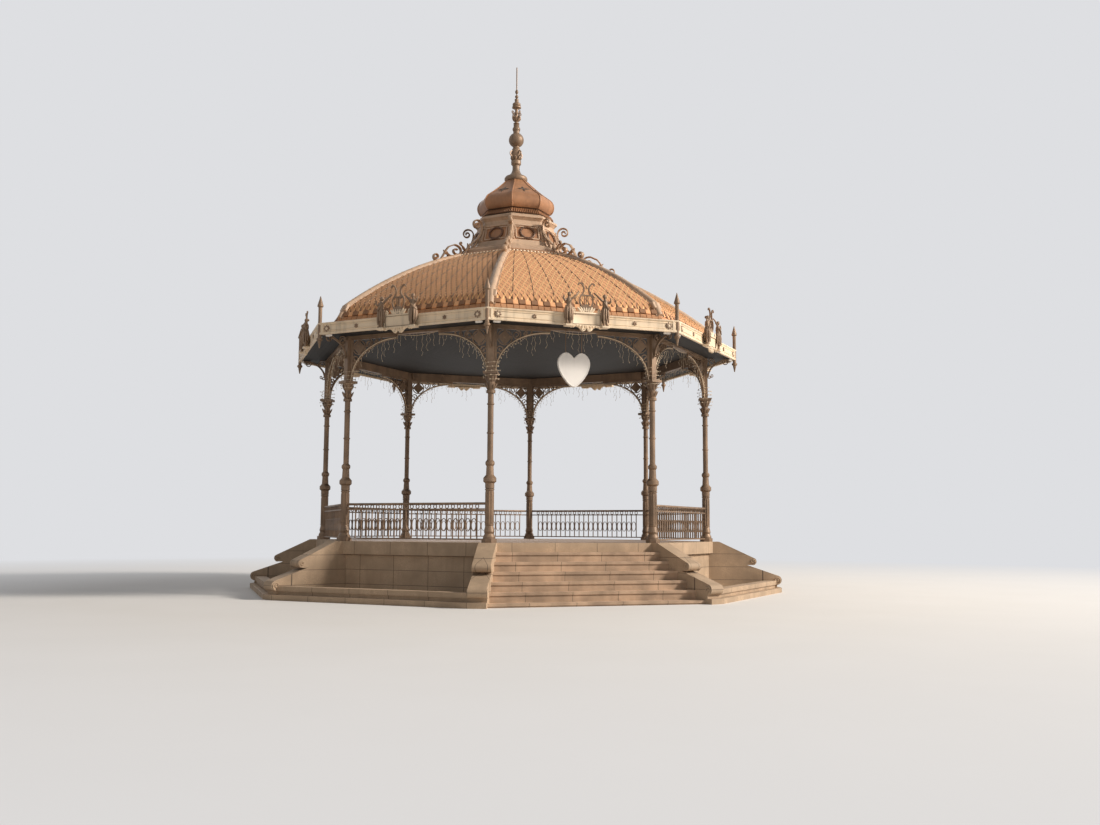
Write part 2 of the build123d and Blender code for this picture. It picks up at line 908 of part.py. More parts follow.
# Vase with a moulded foot and four open handles
vase_core = turned(
    polygon(
        [
            (0, vase_foot),
            (spire_foot_radius, vase_foot),
            (spire_foot_radius, vase_foot + 60),
            (spire_foot_radius + 41, vase_foot + 110),
            (spire_foot_radius + 41, vase_foot + 200),
            (spire_foot_radius - 5, vase_foot + 240),
            (vase_radius - 25, vase_foot + 320),
            (vase_radius, vase_foot + 420),
            (vase_radius - 25, vase_foot + 520),
            (spire_foot_radius - 10, vase_foot + vase_height),
            (0, vase_foot + vase_height),
        ]
    )
)
with BuildPart() as vase_handle:
    with BuildSketch(Plane.XZ):
        add(arc_bar((vase_radius - 15, vase_foot + 400), handle_radius, -110, 220, handle_bar))
    extrude(amount=handle_bar / 2, both=True)
with BuildPart() as spire_vase:
    add(vase_core)
    with PolarLocations(0, 4, start_angle=half_turn):
        add(vase_handle.part)
spire_vase.part.label = "spire_vase"
export_step(spire_vase.part, "parts/spire_vase.step")

ball_foot = vase_foot + vase_height
ball_centre = ball_foot + ball_radius + 3
needle_foot = ball_foot + ball_height
with BuildSketch(Plane.XZ) as ball_outline:
    with BuildLine():
        ball_arc = CenterArc((0, ball_centre), ball_radius, -65, 130)
        Polyline(ball_arc @ 1, (85, needle_foot), (0, needle_foot))
        Polyline(
            ball_arc @ 0, ((ball_arc @ 0).X, ball_foot), (0, ball_foot), (0, needle_foot)
        )
    make_face()
spire_ball = turned(ball_outline.sketch)
spire_ball.label = "spire_ball"
export_step(spire_ball, "parts/spire_ball.step")

spire_needle = turned(
    polygon(
        [
            (0, needle_foot),
            (60, needle_foot),
            (85, needle_foot + 80),
            (45, needle_foot + 160),
            (45, needle_foot + 560),
            (128, needle_foot + 600),
            (128, needle_foot + 630),
            (43, needle_foot + 680),
            (60, needle_foot + 850),
            (needle_radius, needle_foot + 900),
            (needle_radius, needle_foot + needle_height - 2 * needle_radius),
            (0, needle_foot + needle_height),
        ]
    )
)
spire_needle.label = "spire_needle"
export_step(spire_needle, "parts/spire_needle.step")

# Scroll consoles that stand on the hips and lean on the lantern
roof_arc = ThreePointArc(roof_knee, roof_middle, roof_top)
roof_corner = roof_top_apothem / cos(radians(half_turn))


def roof_height(radius):
    """Height of the roof's curve on a hip, between the knee and the top."""
    across = radius * cos(radians(half_turn)) - roof_arc.arc_center.X
    return roof_arc.arc_center.Y + sqrt(roof_arc.radius**2 - across**2)


volutes = [
    ((roof_corner + reach, roof_height(roof_corner + reach) + rise), radius)
    for reach, rise, radius in roof_volutes
] + [
    ((roof_corner + reach, base_top + rise), radius) for reach, rise, radius in drum_volutes
]
with BuildPart() as console:
    with BuildSketch(Plane.XZ):
        hand = -1
        for (near, near_radius), (far, far_radius) in zip(volutes, volutes[1:]):
            add(tangent_bar(near, near_radius, far, far_radius, hand, console_bar))
            touch = degrees(tangent_normal(near, near_radius, far, far_radius, hand))
            if near == volutes[0][0]:
                add(scroll(near, near_radius, touch, hand, console_bar))
            add(scroll(far, far_radius, touch, -hand, console_bar))
            hand = -hand
        tip, tip_radius = volutes[-1]
        with Locations(((tip[0] - tip_radius + console_bar) / 2, tip[1])):
            Rectangle(tip[0] - tip_radius + console_bar, console_tie)
    extrude(amount=console_thickness / 2, both=True)
    with Locations(Rotation(0, 0, half_turn)):
        add(roof_mass(hip_height), mode=Mode.SUBTRACT)
        add(cover_envelope, mode=Mode.SUBTRACT)
        add(lantern_base, mode=Mode.SUBTRACT)
        add(lantern_drum, mode=Mode.SUBTRACT)
        add(lantern_cornice, mode=Mode.SUBTRACT)
console_piece = console.part.solids().sort_by(Axis.X)[-1]
lantern_consoles = on_all_corners(console_piece)
lantern_consoles.label = "lantern_consoles"
export_step(lantern_consoles, "parts/lantern_consoles.step")

# Arch spandrels: a quarter-ellipse bar, a top rail, a post bar, a roundel and scrolls
arch_spring = abacus_top + arch_lift
arch_rise = beam_bottom - arch_drop + bar_thickness - arch_spring
post_face = side_length / 2 - post_width / 2 / cos(radians(half_turn))
arch_centre = post_face - arch_reach
rail_underside = beam_bottom - bar_thickness
bar_tail = post_width / 4
with BuildPart() as spandrel:
    with BuildSketch(Plane.YZ.offset(column_apothem - bar_width / 2)):
        with Locations(
            (post_face + (bar_tail - bar_thickness) / 2, (arch_spring + beam_bottom) / 2)
        ):
            Rectangle(bar_thickness + bar_tail, beam_bottom - arch_spring)
        with Locations((post_face - arch_reach / 2, beam_bottom - bar_thickness / 2)):
            Rectangle(arch_reach + bar_thickness, bar_thickness)
        add(
            elliptical_bar(
                (arch_centre, arch_spring), arch_reach, arch_rise, 0, bar_thickness
            )
        )
        with Locations((post_face - roundel_inset, beam_bottom - roundel_inset)):
            Circle(roundel_radius)
            Circle(roundel_radius - bar_thickness / 2, mode=Mode.SUBTRACT)
            RegularPolygon(roundel_radius - bar_thickness / 4, 4)
        for inset in beam_scroll_insets:
            across = 1 - inset / arch_reach
            top_of_arch = arch_spring + arch_rise * sqrt(1 - across**2)
            radius = (rail_underside - top_of_arch) / 2 + 1
            add(scroll((post_face - inset, top_of_arch + radius), radius, 90, 1, scroll_bar))
        for drop in post_scroll_drops:
            height = beam_bottom - drop
            upward = (height - arch_spring) / arch_rise
            side_of_arch = arch_centre + arch_reach * sqrt(1 - upward**2)
            radius = (post_face - bar_thickness - side_of_arch) / 2 + 1
            add(scroll((side_of_arch + radius, height), radius, 0, 1, scroll_bar))
    extrude(amount=bar_width)
right_spandrel = trimmed_to_side(spandrel.part, post_width)
with BuildPart() as left_spandrel:
    mirror(right_spandrel, about=Plane.XZ)
right_spandrels = on_all_sides(right_spandrel)
right_spandrels.label = "right_spandrels"
export_step(right_spandrels, "parts/right_spandrels.step")
left_spandrels = on_all_sides(left_spandrel.part)
left_spandrels.label = "left_spandrels"
export_step(left_spandrels, "parts/left_spandrels.step")

# Eave brackets: radial scrolls between the post and the soffit
bracket_reach = eave_radius - column_radius - post_width / 2 - spike_collar_radius
bracket_root = column_radius + post_width / 2
bracket_foot = soffit_height - bracket_drop
with BuildPart() as eave_bracket:
    with BuildSketch(Plane.XZ):
        add(
            elliptical_bar(
                (bracket_root + bracket_reach, bracket_foot),
                bracket_reach,
                bracket_drop,
                90,
                bar_thickness,
            )
        )
        radius = bracket_scroll_radius
        add(
            scroll(
                (bracket_root + radius, soffit_height - radius), radius, 180, -1, scroll_bar
            )
        )
        radius = bracket_scroll_radius / 2
        add(scroll((bracket_root + radius, bracket_foot), radius, 180, 1, scroll_bar))
    extrude(amount=bar_width / 2, both=True)
eave_brackets = on_all_corners(eave_bracket.part)
eave_brackets.label = "eave_brackets"
export_step(eave_brackets, "parts/eave_brackets.step")

# Railings between the column bases
rail_top = platform_height + rail_height
rail_low = platform_height + rail_foot_gap
frieze_rail = rail_top - frieze_band
picket_room = side_length - column_base_width - 2 * picket_width
picket_count = int(picket_room // picket_spacing)
ring_radius = (frieze_band - 2 * rail_bar) / 2 + ring_bar / 4
ring_centre = frieze_rail + rail_bar + (frieze_band - 2 * rail_bar) / 2
picket_middle = (rail_low + frieze_rail) / 2
picket_oval_radius = (picket_spacing - picket_width) / 2 + ring_bar / 4
with BuildPart() as railing:
    with BuildSketch(Plane.YZ.offset(column_apothem - rail_thickness / 2)):
        for rail_bottom in (rail_top - rail_bar, frieze_rail, rail_low):
            with Locations((0, rail_bottom + rail_bar / 2)):
                Rectangle(side_length, rail_bar)
    extrude(amount=rail_thickness)
    with BuildSketch(Plane.YZ.offset(column_apothem - picket_width / 2)):
        with Locations((0, picket_middle)):
            with GridLocations(picket_spacing, 0, picket_count, 1):
                Rectangle(picket_width, frieze_rail - rail_low)
            with GridLocations(picket_spacing, 0, picket_count - 1, 1):
                Ellipse(picket_oval_radius, picket_oval_height / 2)
                Ellipse(
                    picket_oval_radius - ring_bar,
                    picket_oval_height / 2 - ring_bar,
                    mode=Mode.SUBTRACT,
                )
        with Locations((0, ring_centre)):
            with GridLocations(picket_spacing, 0, picket_count, 1):
                Circle(ring_radius)
                Circle(ring_radius - ring_bar, mode=Mode.SUBTRACT)
    extrude(amount=picket_width)
    for turn in (-half_turn, half_turn):
        with Locations(Rotation(0, 0, turn)):
            add(column_base.part, mode=Mode.SUBTRACT)
railings = on_railed_sides(railing.part)
railings.label = "railings"
export_step(railings, "parts/railings.step")

# Cartouches: plaque with a shell below, a lyre on it and a figure at each side
plaque_centre = beam_bottom + fascia_depth / 2
shell_height = plaque_centre - plaque_height / 2
with BuildPart() as plaque:
    with BuildSketch(Plane.YZ.offset(plaque_back)):
        with Locations((0, plaque_centre)):
            Rectangle(plaque_width, plaque_height)
        with Locations((0, shell_height)):
            Circle(shell_radius)
        with Locations((-plaque_width / 4, shell_height), (plaque_width / 4, shell_height)):
            Circle(shell_side_radius)
    extrude(amount=plaque_thickness)
cartouche_plaques = on_all_sides(plaque.part)
cartouche_plaques.label = "cartouche_plaques"
export_step(cartouche_plaques, "parts/cartouche_plaques.step")

lyre_foot = plaque_centre + plaque_height / 2
with BuildPart() as lyre:
    with BuildSketch(Plane.YZ.offset(plaque_back + plaque_thickness / 4)):
        with Locations((0, lyre_foot + lyre_height * 0.13)):
            Ellipse(lyre_width * 0.3, lyre_height * 0.13)
        with Locations((0, lyre_foot + lyre_height * 0.56)):
            Rectangle(lyre_width * 0.74, lyre_bar)
        with Locations((0, lyre_foot + lyre_height * 0.38)):
            with GridLocations(lyre_width / 8, 0, 3, 1):
                Rectangle(string_width, lyre_height * 0.36)
        for hand in (-1, 1):
            with BuildLine():
                bulge = ThreePointArc(
                    (hand * lyre_width * 0.18, lyre_foot + lyre_height * 0.14),
                    (hand * lyre_width * 0.48, lyre_foot + lyre_height * 0.32),
                    (hand * lyre_width * 0.33, lyre_foot + lyre_height * 0.58),
                )
                horn = TangentArc(
                    bulge @ 1,
                    (hand * lyre_width * 0.4, lyre_foot + lyre_height * 0.95),
                    tangent=bulge % 1,
                )
                JernArc(horn @ 1, horn % 1, lyre_width / 9, -hand * 150)
            trace(line_width=lyre_bar)
    extrude(amount=plaque_thickness / 2)
cartouche_lyres = on_all_sides(lyre.part)
cartouche_lyres.label = "cartouche_lyres"
export_step(cartouche_lyres, "parts/cartouche_lyres.step")

# Supporters: robed figures on corbels, each with one arm raised to the lyre
figure_place = plaque_back + supporter_radius
figure_foot = beam_bottom + corbel_height
figure_shoulder = figure_foot + supporter_height * 0.8
head_radius = supporter_radius * 0.66
arm_radius = supporter_radius * 0.24
with BuildPart() as supporter:
    with BuildSketch(Plane.XZ.offset(-supporter_spread)):
        with BuildLine():
            Polyline(
                (figure_place, figure_foot),
                (figure_place + supporter_radius * 0.8, figure_foot),
                (figure_place + supporter_radius, figure_foot + supporter_height * 0.04),
                (figure_place + supporter_radius * 0.72, figure_foot + supporter_height * 0.38),
                (figure_place + supporter_radius * 0.9, figure_foot + supporter_height * 0.5),
                (figure_place + supporter_radius * 0.66, figure_foot + supporter_height * 0.62),
                (figure_place + supporter_radius * 0.96, figure_shoulder),
                (figure_place + supporter_radius * 0.36, figure_shoulder + arm_radius * 2),
                (figure_place, figure_foot + supporter_height * 0.87),
                close=True,
            )
        make_face()
    revolve(axis=Axis((figure_place, supporter_spread, 0), (0, 0, 1)))
    with Locations(
        (figure_place, supporter_spread, figure_foot + supporter_height - head_radius)
    ):
        Sphere(head_radius)
    with BuildLine():
        arm = Line(
            (figure_place, supporter_spread - supporter_radius * 0.6, figure_shoulder),
            (
                plaque_back + plaque_thickness / 2,
                lyre_width * 0.44,
                lyre_foot + lyre_height * 0.62,
            ),
        )
    with BuildSketch(Plane(arm @ 0, z_dir=arm % 0)):
        Circle(arm_radius)
    sweep()
    with BuildSketch(Plane.YZ.offset(fascia_inner + fascia_thickness)):
        with Locations((supporter_spread, beam_bottom + corbel_height / 2)):
            Rectangle(2 * supporter_radius, corbel_height)
    extrude(amount=fascia_moulding + 2 * supporter_radius)
    add(gutter_run, mode=Mode.SUBTRACT)
    add(plaque.part, mode=Mode.SUBTRACT)
    add(lyre.part, mode=Mode.SUBTRACT)
with BuildPart() as supporter_pair:
    add(supporter.part)
    mirror(supporter.part, about=Plane.XZ)
cartouche_supporters = on_all_sides(supporter_pair.part)
cartouche_supporters.label = "cartouche_supporters"
export_step(cartouche_supporters, "parts/cartouche_supporters.step")

# Heart sign and its hangers
heart_lobe = heart_width / 4
heart_top = beam_bottom - heart_drop
with BuildPart() as heart_sign:
    with BuildSketch(Plane.XZ.offset(column_apothem - heart_thickness / 2)):
        lobe_height = heart_top - heart_lobe
        with BuildLine():
            Polyline(
                (-heart_width / 2, lobe_height),
                (0, heart_top - heart_height),
                (heart_width / 2, lobe_height),
            )
            CenterArc((heart_lobe, lobe_height), heart_lobe, 0, 180)
            CenterArc((-heart_lobe, lobe_height), heart_lobe, 0, 180)
        make_face()
    extrude(amount=heart_thickness)
heart_sign.part.label = "heart_sign"
export_step(heart_sign.part, "parts/heart_sign.step")

with BuildPart() as heart_hangers:
    for hand in (-1, 1):
        with Locations((hand * heart_lobe, -column_apothem, (heart_top + beam_bottom) / 2)):
            Cylinder(hanger_radius, beam_bottom - heart_top)
heart_hangers.part.label = "heart_hangers"
export_step(heart_hangers.part, "parts/heart_hangers.step")
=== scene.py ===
"""Looks of an octagonal bandstand, modelled over its construction frame.

Every piece that repeats is drawn once, a side piece on the side that faces +X and a corner
piece on the radial plane through +X, and is then copied round the axis.
"""
import math

import bpy
from bpy.props import FloatProperty, FloatVectorProperty, IntProperty, PointerProperty
from bpy.types import Operator, Panel, PropertyGroup
from mathutils import Matrix, Vector


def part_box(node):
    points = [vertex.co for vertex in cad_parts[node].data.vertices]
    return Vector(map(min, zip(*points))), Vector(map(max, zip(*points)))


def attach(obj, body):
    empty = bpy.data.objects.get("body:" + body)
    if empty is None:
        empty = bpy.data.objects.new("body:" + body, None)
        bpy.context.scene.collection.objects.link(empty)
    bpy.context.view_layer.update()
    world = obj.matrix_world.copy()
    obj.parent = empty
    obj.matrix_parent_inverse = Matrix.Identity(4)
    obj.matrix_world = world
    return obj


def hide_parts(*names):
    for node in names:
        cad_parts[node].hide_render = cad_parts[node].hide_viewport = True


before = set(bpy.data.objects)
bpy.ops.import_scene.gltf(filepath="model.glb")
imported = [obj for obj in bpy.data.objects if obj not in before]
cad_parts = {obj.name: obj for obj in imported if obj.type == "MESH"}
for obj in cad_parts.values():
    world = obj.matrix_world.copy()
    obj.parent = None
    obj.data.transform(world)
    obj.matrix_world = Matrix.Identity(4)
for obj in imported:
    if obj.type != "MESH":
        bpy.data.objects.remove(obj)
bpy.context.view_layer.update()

bl_info = {
    "name": "Bandstand Looks",
    "version": (1, 0, 0),
    "blender": (4, 5, 0),
    "location": "View3D > Sidebar > Bandstand",
    "description": "Tiles, mouldings, ornament and finishes of an octagonal bandstand",
    "category": "Object",
}

SIDES = 8
TURN = 2 * math.pi / SIDES
HALF = TURN / 2
TAN_HALF = math.tan(HALF)
COS_HALF = math.cos(HALF)
STAIR_SIDE = 6

PLATFORM_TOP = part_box("platform_coping")[1].z
PLATFORM_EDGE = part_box("platform_coping")[1].x
EAVE_LOW, EAVE_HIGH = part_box("gutters")
CORNICE_FACE = EAVE_HIGH.x
ROOF_LOW, ROOF_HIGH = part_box("roof_faces")
# Height of the upper edge of the roof's foot over its lower edge
FOOT_LIFT = 0.075
DRUM_LOW, DRUM_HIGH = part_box("lantern_drum")
DRUM_RISE = DRUM_HIGH.z - DRUM_LOW.z
# Distance from the axis to the drum's face where it meets the cornice
DRUM_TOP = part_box("lantern_cornice")[1].x - 0.04
FRIEZE_LOW, FRIEZE_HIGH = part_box("lantern_frieze")
COLUMN_COLLAR = 0.148
COLUMN_CENTRE = (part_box("column_shafts")[1].y - COLUMN_COLLAR) / COS_HALF
COLUMN_APOTHEM = COLUMN_CENTRE * COS_HALF
POST_HALF = 0.075
# Curve of an arch: its width and band, the heights of its spring and crown, and how far its
# centre is from the middle of the side
ARCH_REACH = 1.32
ARCH_BAND = 0.045
ARCH_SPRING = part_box("right_spandrels")[0].z
ARCH_CROWN = EAVE_LOW.z - 0.1
ARCH_CENTRE = COLUMN_CENTRE * math.sin(HALF) - POST_HALF / COS_HALF - ARCH_REACH


def shade(red, green, blue):
    """Linear colour of a display colour given in 0 to 255."""
    steps = (red / 255, green / 255, blue / 255)
    return tuple(((c + 0.055) / 1.055) ** 2.4 if c > 0.04 else c / 12.92 for c in steps)


# Settings


def metres(name, description, default):
    """A setting in metres."""
    return FloatProperty(name=name, description=description, default=default, unit="LENGTH")


def degrees(name, description, default):
    """A setting in degrees."""
    default = math.radians(default)
    return FloatProperty(name=name, description=description, default=default, subtype="ANGLE")


def paint(name, description, *levels):
    """A colour setting, from display levels of 0 to 255."""
    default = shade(*levels)
    return FloatVectorProperty(name=name, description=description, default=default, subtype="COLOR")


class BandstandRoof(PropertyGroup):
    knee_apothem: metres("Knee apothem", "Distance from the axis to the break above the eave", 4.93)
    knee_height: metres("Knee height", "Height of that break", 7.01)
    middle_apothem: metres("Middle apothem", "Distance from the axis to the curve's middle point", 3.51)
    middle_height: metres("Middle height", "Height of that middle point", 8.03)
    top_apothem: metres("Top apothem", "Distance from the axis to the curve's upper end", 1.39)
    flashing_apothem: metres("Flashing apothem", "Distance from the axis to the flashing's edge", 1.75)
    tile_width: metres("Tile width", "Width of a diamond tile", 0.145)
    tile_height: metres("Tile height", "Height of a diamond tile", 0.29)
    tile_thickness: metres("Tile thickness", "Thickness of a tile", 0.012)
    seam_width: metres("Seam width", "Width of a seam strip", 0.014)
    seam_count: IntProperty(
        name="Seams", description="Seams that fan down each roof face", default=7, min=1
    )
    upright_width: metres("Foot tile width", "Width of an upright tile above the gutter", 0.13)
    upright_height: metres("Foot tile height", "Height of an upright tile above the gutter", 0.25)
    hip_radius: metres("Hip radius", "Radius of a hip roll", 0.08)


class BandstandOrnament(PropertyGroup):
    rosette_reach: metres("Rosette place", "Distance of a rosette from the middle of its side", 1.22)
    rosette_radius: metres("Rosette radius", "Radius of a rosette", 0.055)
    wreath_width: metres("Wreath width", "Width of a lantern wreath", 0.4)
    leaf_length: metres("Leaf length", "Length of a leaf on a capital", 0.17)
    rim_thickness: metres("Heart rim", "Thickness of the heart's rim", 0.02)


class BandstandColours(PropertyGroup):
    stone: paint("Stone", "Weathered masonry", 196, 168, 138)
    step: paint("Steps", "Worn treads", 204, 172, 142)
    tile: paint("Tiles", "Roof tiles", 216, 158, 112)
    lead: paint("Lead", "Dome and lantern", 172, 122, 84)
    iron: paint("Iron", "Painted iron", 140, 114, 90)
    cream: paint("Cream", "Eave paint", 236, 212, 180)
    # Painted shade: the ceiling and soffit boards get a near-black colour for the shade under the roof
    boards: paint("Boards", "Ceiling boards", 34, 31, 29)
    floor: paint("Floor", "Platform tiles", 168, 138, 112)
    white: paint("White", "Heart sign", 240, 234, 226)


class BandstandPhoto(PropertyGroup):
    place: FloatVectorProperty(
        name="Camera place",
        description="Where the camera stands",
        subtype="TRANSLATION",
        unit="LENGTH",
        default=(-8.520, -28.372, 1.64),
    )
    heading: degrees("Heading", "Turn of the camera from +Y towards +X", 18.643)
    pitch: degrees("Pitch", "Upward tilt of the camera", 6.137)
    roll: degrees("Roll", "Roll of the camera about its view", 0.3155)
    lens: FloatProperty(
        name="Lens", description="Focal length on a 36 mm frame", default=35.38, unit="CAMERA"
    )


GROUPS = (BandstandRoof, BandstandOrnament, BandstandColours, BandstandPhoto)


def sizes():
    return bpy.context.scene.bandstand_roof


def ornament():
    return bpy.context.scene.bandstand_ornament


# Modelling moves


def deselect():
    """Leaves edit mode with nothing selected."""
    if bpy.context.mode != "OBJECT":
        bpy.ops.object.mode_set(mode="OBJECT")
    bpy.ops.object.select_all(action="DESELECT")


def only(piece):
    """Makes one piece the selected and active one."""
    deselect()
    piece.select_set(True)
    bpy.context.view_layer.objects.active = piece


def settle(piece):
    """Puts the piece's place, turn and size into its mesh."""
    only(piece)
    bpy.ops.object.transform_apply(location=True, rotation=True, scale=True)
    return piece


def turn(angle, axis):
    return Matrix.Rotation(angle, 4, axis)


def shift(*place):
    return Matrix.Translation(place)


def stretch(*factors):
    return Matrix.Diagonal((*factors, 1))


def placed(piece, place, *moves):
    """Takes the piece through the moves, the last one first, and stands it at the place."""
    matrix = shift(*place)
    for move in moves:
        matrix = matrix @ move
    piece.matrix_world = matrix
    return settle(piece)


def open_mesh(piece):
    """Enters the piece with its whole mesh selected."""
    only(piece)
    bpy.ops.object.mode_set(mode="EDIT")
    bpy.ops.mesh.select_all(action="SELECT")


def close_mesh():
    """Turns every face of the open mesh outwards and leaves it."""
    bpy.ops.mesh.select_all(action="SELECT")
    bpy.ops.mesh.normals_make_consistent(inside=False)
    deselect()


def extrude(x, y, z):
    bpy.ops.mesh.extrude_region_move(TRANSFORM_OT_translate={"value": (x, y, z)})


def ease(piece, width):
    """Bevels the piece's sharp edges."""
    only(piece)
    modifier = piece.modifiers.new("Eased", "BEVEL")
    modifier.width = width
    modifier.limit_method = "ANGLE"
    bpy.ops.object.modifier_apply(modifier=modifier.name)
    return piece


def block(size, centre=(0, 0, 0), bevel=0.0):
    """A block, with eased edges where a bevel is given."""
    deselect()
    bpy.ops.mesh.primitive_cube_add(size=1, location=centre)
    piece = bpy.context.object
    piece.scale = size
    settle(piece)
    return ease(piece, bevel) if bevel else piece


def turned(profile, place=(0.0, 0.0), sides=12, twist=0.0):
    """A turned solid: a disc drawn up through (radius, height) pairs."""
    deselect()
    radius, height = profile[0]
    bpy.ops.mesh.primitive_circle_add(
        vertices=sides,
        radius=radius,
        fill_type="NGON",
        location=(*place, height),
        rotation=(0, 0, twist),
    )
    piece = settle(bpy.context.object)
    open_mesh(piece)
    for next_radius, next_height in profile[1:]:
        extrude(0, 0, next_height - height)
        ratio = next_radius / radius
        bpy.ops.transform.resize(value=(ratio, ratio, 1), center_override=(*place, next_height))
        radius, height = next_radius, next_height
    close_mesh()
    return piece


def path(points):
    """A new curve with one straight run through the points, and that run."""
    deselect()
    bpy.ops.curve.primitive_nurbs_path_add()
    shape = bpy.context.object.data
    shape.splines.clear()
    run = shape.splines.new("POLY")
    run.points.add(len(points) - 1)
    for spot, point in zip(run.points, points):
        spot.co = (*point, 1)
    return shape, run


def bar(points, radius, closed=False, fine=1, taper=None):
    """A round bar drawn along points, with closed ends and an optional taper."""
    shape, run = path(points)
    for spot, share in zip(run.points, taper or ()):
        spot.radius = share
    run.use_cyclic_u = closed
    shape.bevel_depth = radius
    shape.bevel_resolution = fine
    shape.use_fill_caps = not closed
    bpy.ops.object.convert(target="MESH")
    return welded(bpy.context.object)


def ribbon(line, thickness, width):
    """A flat bar of the plane XZ that stands on edge, with eased edges."""
    shape, _ = path([(x, z, 0) for x, z in line])
    shape.twist_mode = "Z_UP"
    shape.bevel_depth = thickness / 2
    shape.bevel_resolution = 0
    shape.extrude = (width - thickness) / 2
    shape.use_fill_caps = True
    bpy.ops.object.convert(target="MESH")
    piece = bpy.context.object
    piece.rotation_euler = (math.pi / 2, 0, 0)
    return welded(settle(piece))


def drawn(corners):
    """A flat face through the given corners."""
    deselect()
    bpy.ops.mesh.primitive_circle_add(vertices=len(corners), radius=1, fill_type="NGON")
    piece = bpy.context.object
    for vertex, corner in zip(piece.data.vertices, corners):
        vertex.co = corner
    return piece


def plate(outline, back, front):
    """A plate with an outline of (across, up) pairs that reaches from back to front."""
    piece = drawn([(back, across, up) for across, up in outline])
    open_mesh(piece)
    extrude(front - back, 0, 0)
    close_mesh()
    return piece


def welded(piece):
    """Welds doubled points and turns every face outwards."""
    open_mesh(piece)
    bpy.ops.mesh.remove_doubles(threshold=0.00005)
    close_mesh()
    return piece


def flowing(spots, cuts=4):
    """A smooth line of points through the given spots of a plane."""

    def bend(a, b, c, d, t):
        third = (3 * b - a - 3 * c + d) * t**3
        return 0.5 * (2 * b + (c - a) * t + (2 * a - 5 * b + 4 * c - d) * t**2 + third)

    ends = [spots[0], *spots, spots[-1]]
    line = []
    for four in zip(ends, ends[1:], ends[2:], ends[3:]):
        for cut in range(cuts):
            line.append(tuple(bend(*values, cut / cuts) for values in zip(*four)))
    return line + [tuple(spots[-1])]


def spiral(centre, outer, inner, start, sweep, steps):
    """Points of a plane spiral, as (across, up) pairs."""
    points = []
    for step in range(steps + 1):
        share = step / steps
        reach = outer * (inner / outer) ** share
        angle = start + sweep * share
        points.append((centre[0] + reach * math.cos(angle), centre[1] + reach * math.sin(angle)))
    return points


def scroll(line, radius, side=0.0):
    """A round bar along (across, up) pairs of the plane XZ, or of a plane beside it."""
    return bar([(x, side, z) for x, z in line], radius)


def angles(count):
    """Evenly spaced angles of one full turn."""
    return [k * 2 * math.pi / count for k in range(count)]


def flower(count, profile, place, *moves, flat=1.0):
    """Petals round a place on the side that faces +X."""
    return [
        placed(turned(profile, sides=6), place, *moves, turn(angle, "X"), stretch(flat, 1, 1))
        for angle in angles(count)
    ]


def join(name, pieces):
    """Joins pieces into one with this name."""
    deselect()
    for piece in pieces:
        piece.select_set(True)
    bpy.context.view_layer.objects.active = pieces[0]
    if len(pieces) > 1:
        bpy.ops.object.join()
    joined = bpy.context.object
    joined.name = name
    joined.data.name = name
    return joined


def copied(piece, matrix):
    """Copies the piece with its own mesh and moves the copy."""
    only(piece)
    bpy.ops.object.duplicate(linked=False)
    copy = bpy.context.object
    copy.matrix_world = matrix
    return settle(copy)


def round_axis(name, pieces, turns):
    """Joins the pieces and copies them to each turn round the axis, as one piece."""
    first = join(name, pieces)
    copies = [copied(first, turn(angle, "Z")) for angle in turns]
    bpy.data.objects.remove(first)
    return join(name, copies)


def on_sides(name, pieces, open_stair=False):
    """Repeats pieces of the +X side on the sides."""
    turns = [k * TURN for k in range(SIDES) if not (open_stair and k == STAIR_SIDE)]
    return round_axis(name, pieces, turns)


def on_corners(name, pieces):
    """Repeats pieces of the +X radial plane at the corners."""
    return round_axis(name, pieces, [k * TURN + HALF for k in range(SIDES)])


def mirrored(pieces):
    """The joined pieces and their mirror image across the plane XZ."""
    piece = join("half", pieces)
    only(piece)
    bpy.ops.object.duplicate(linked=False)
    twin = bpy.context.object
    twin.scale = (1, -1, 1)
    return [piece, welded(settle(twin))]


def dressed(piece, material, smooth=None):
    """Gives the finished piece its material and lets it ride on the bandstand."""
    only(piece)
    if smooth is not None:
        bpy.ops.object.shade_smooth_by_angle(angle=math.radians(smooth))
    piece.data.materials.clear()
    piece.data.materials.append(FINISHES[material])
    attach(piece, "root")
    return piece


# Finishes


FINISHES = {}


def feed(tree, node, values):
    """Gives a node's inputs their values, each a number, a tuple or the socket to link."""
    for key, value in values.items():
        socket = node.inputs[key]
        if isinstance(value, bpy.types.NodeSocket):
            tree.links.new(value, socket)
        elif isinstance(value, tuple):
            socket.default_value = (*value, 1.0)[: len(socket.default_value)]
        elif value is not None:
            socket.default_value = value


def new_node(tree, kind, values=None, **settings):
    """A new node with its settings and the values of its inputs."""
    node = tree.nodes.new(kind)
    for key, value in settings.items():
        setattr(node, key, value)
    feed(tree, node, values or {})
    return node


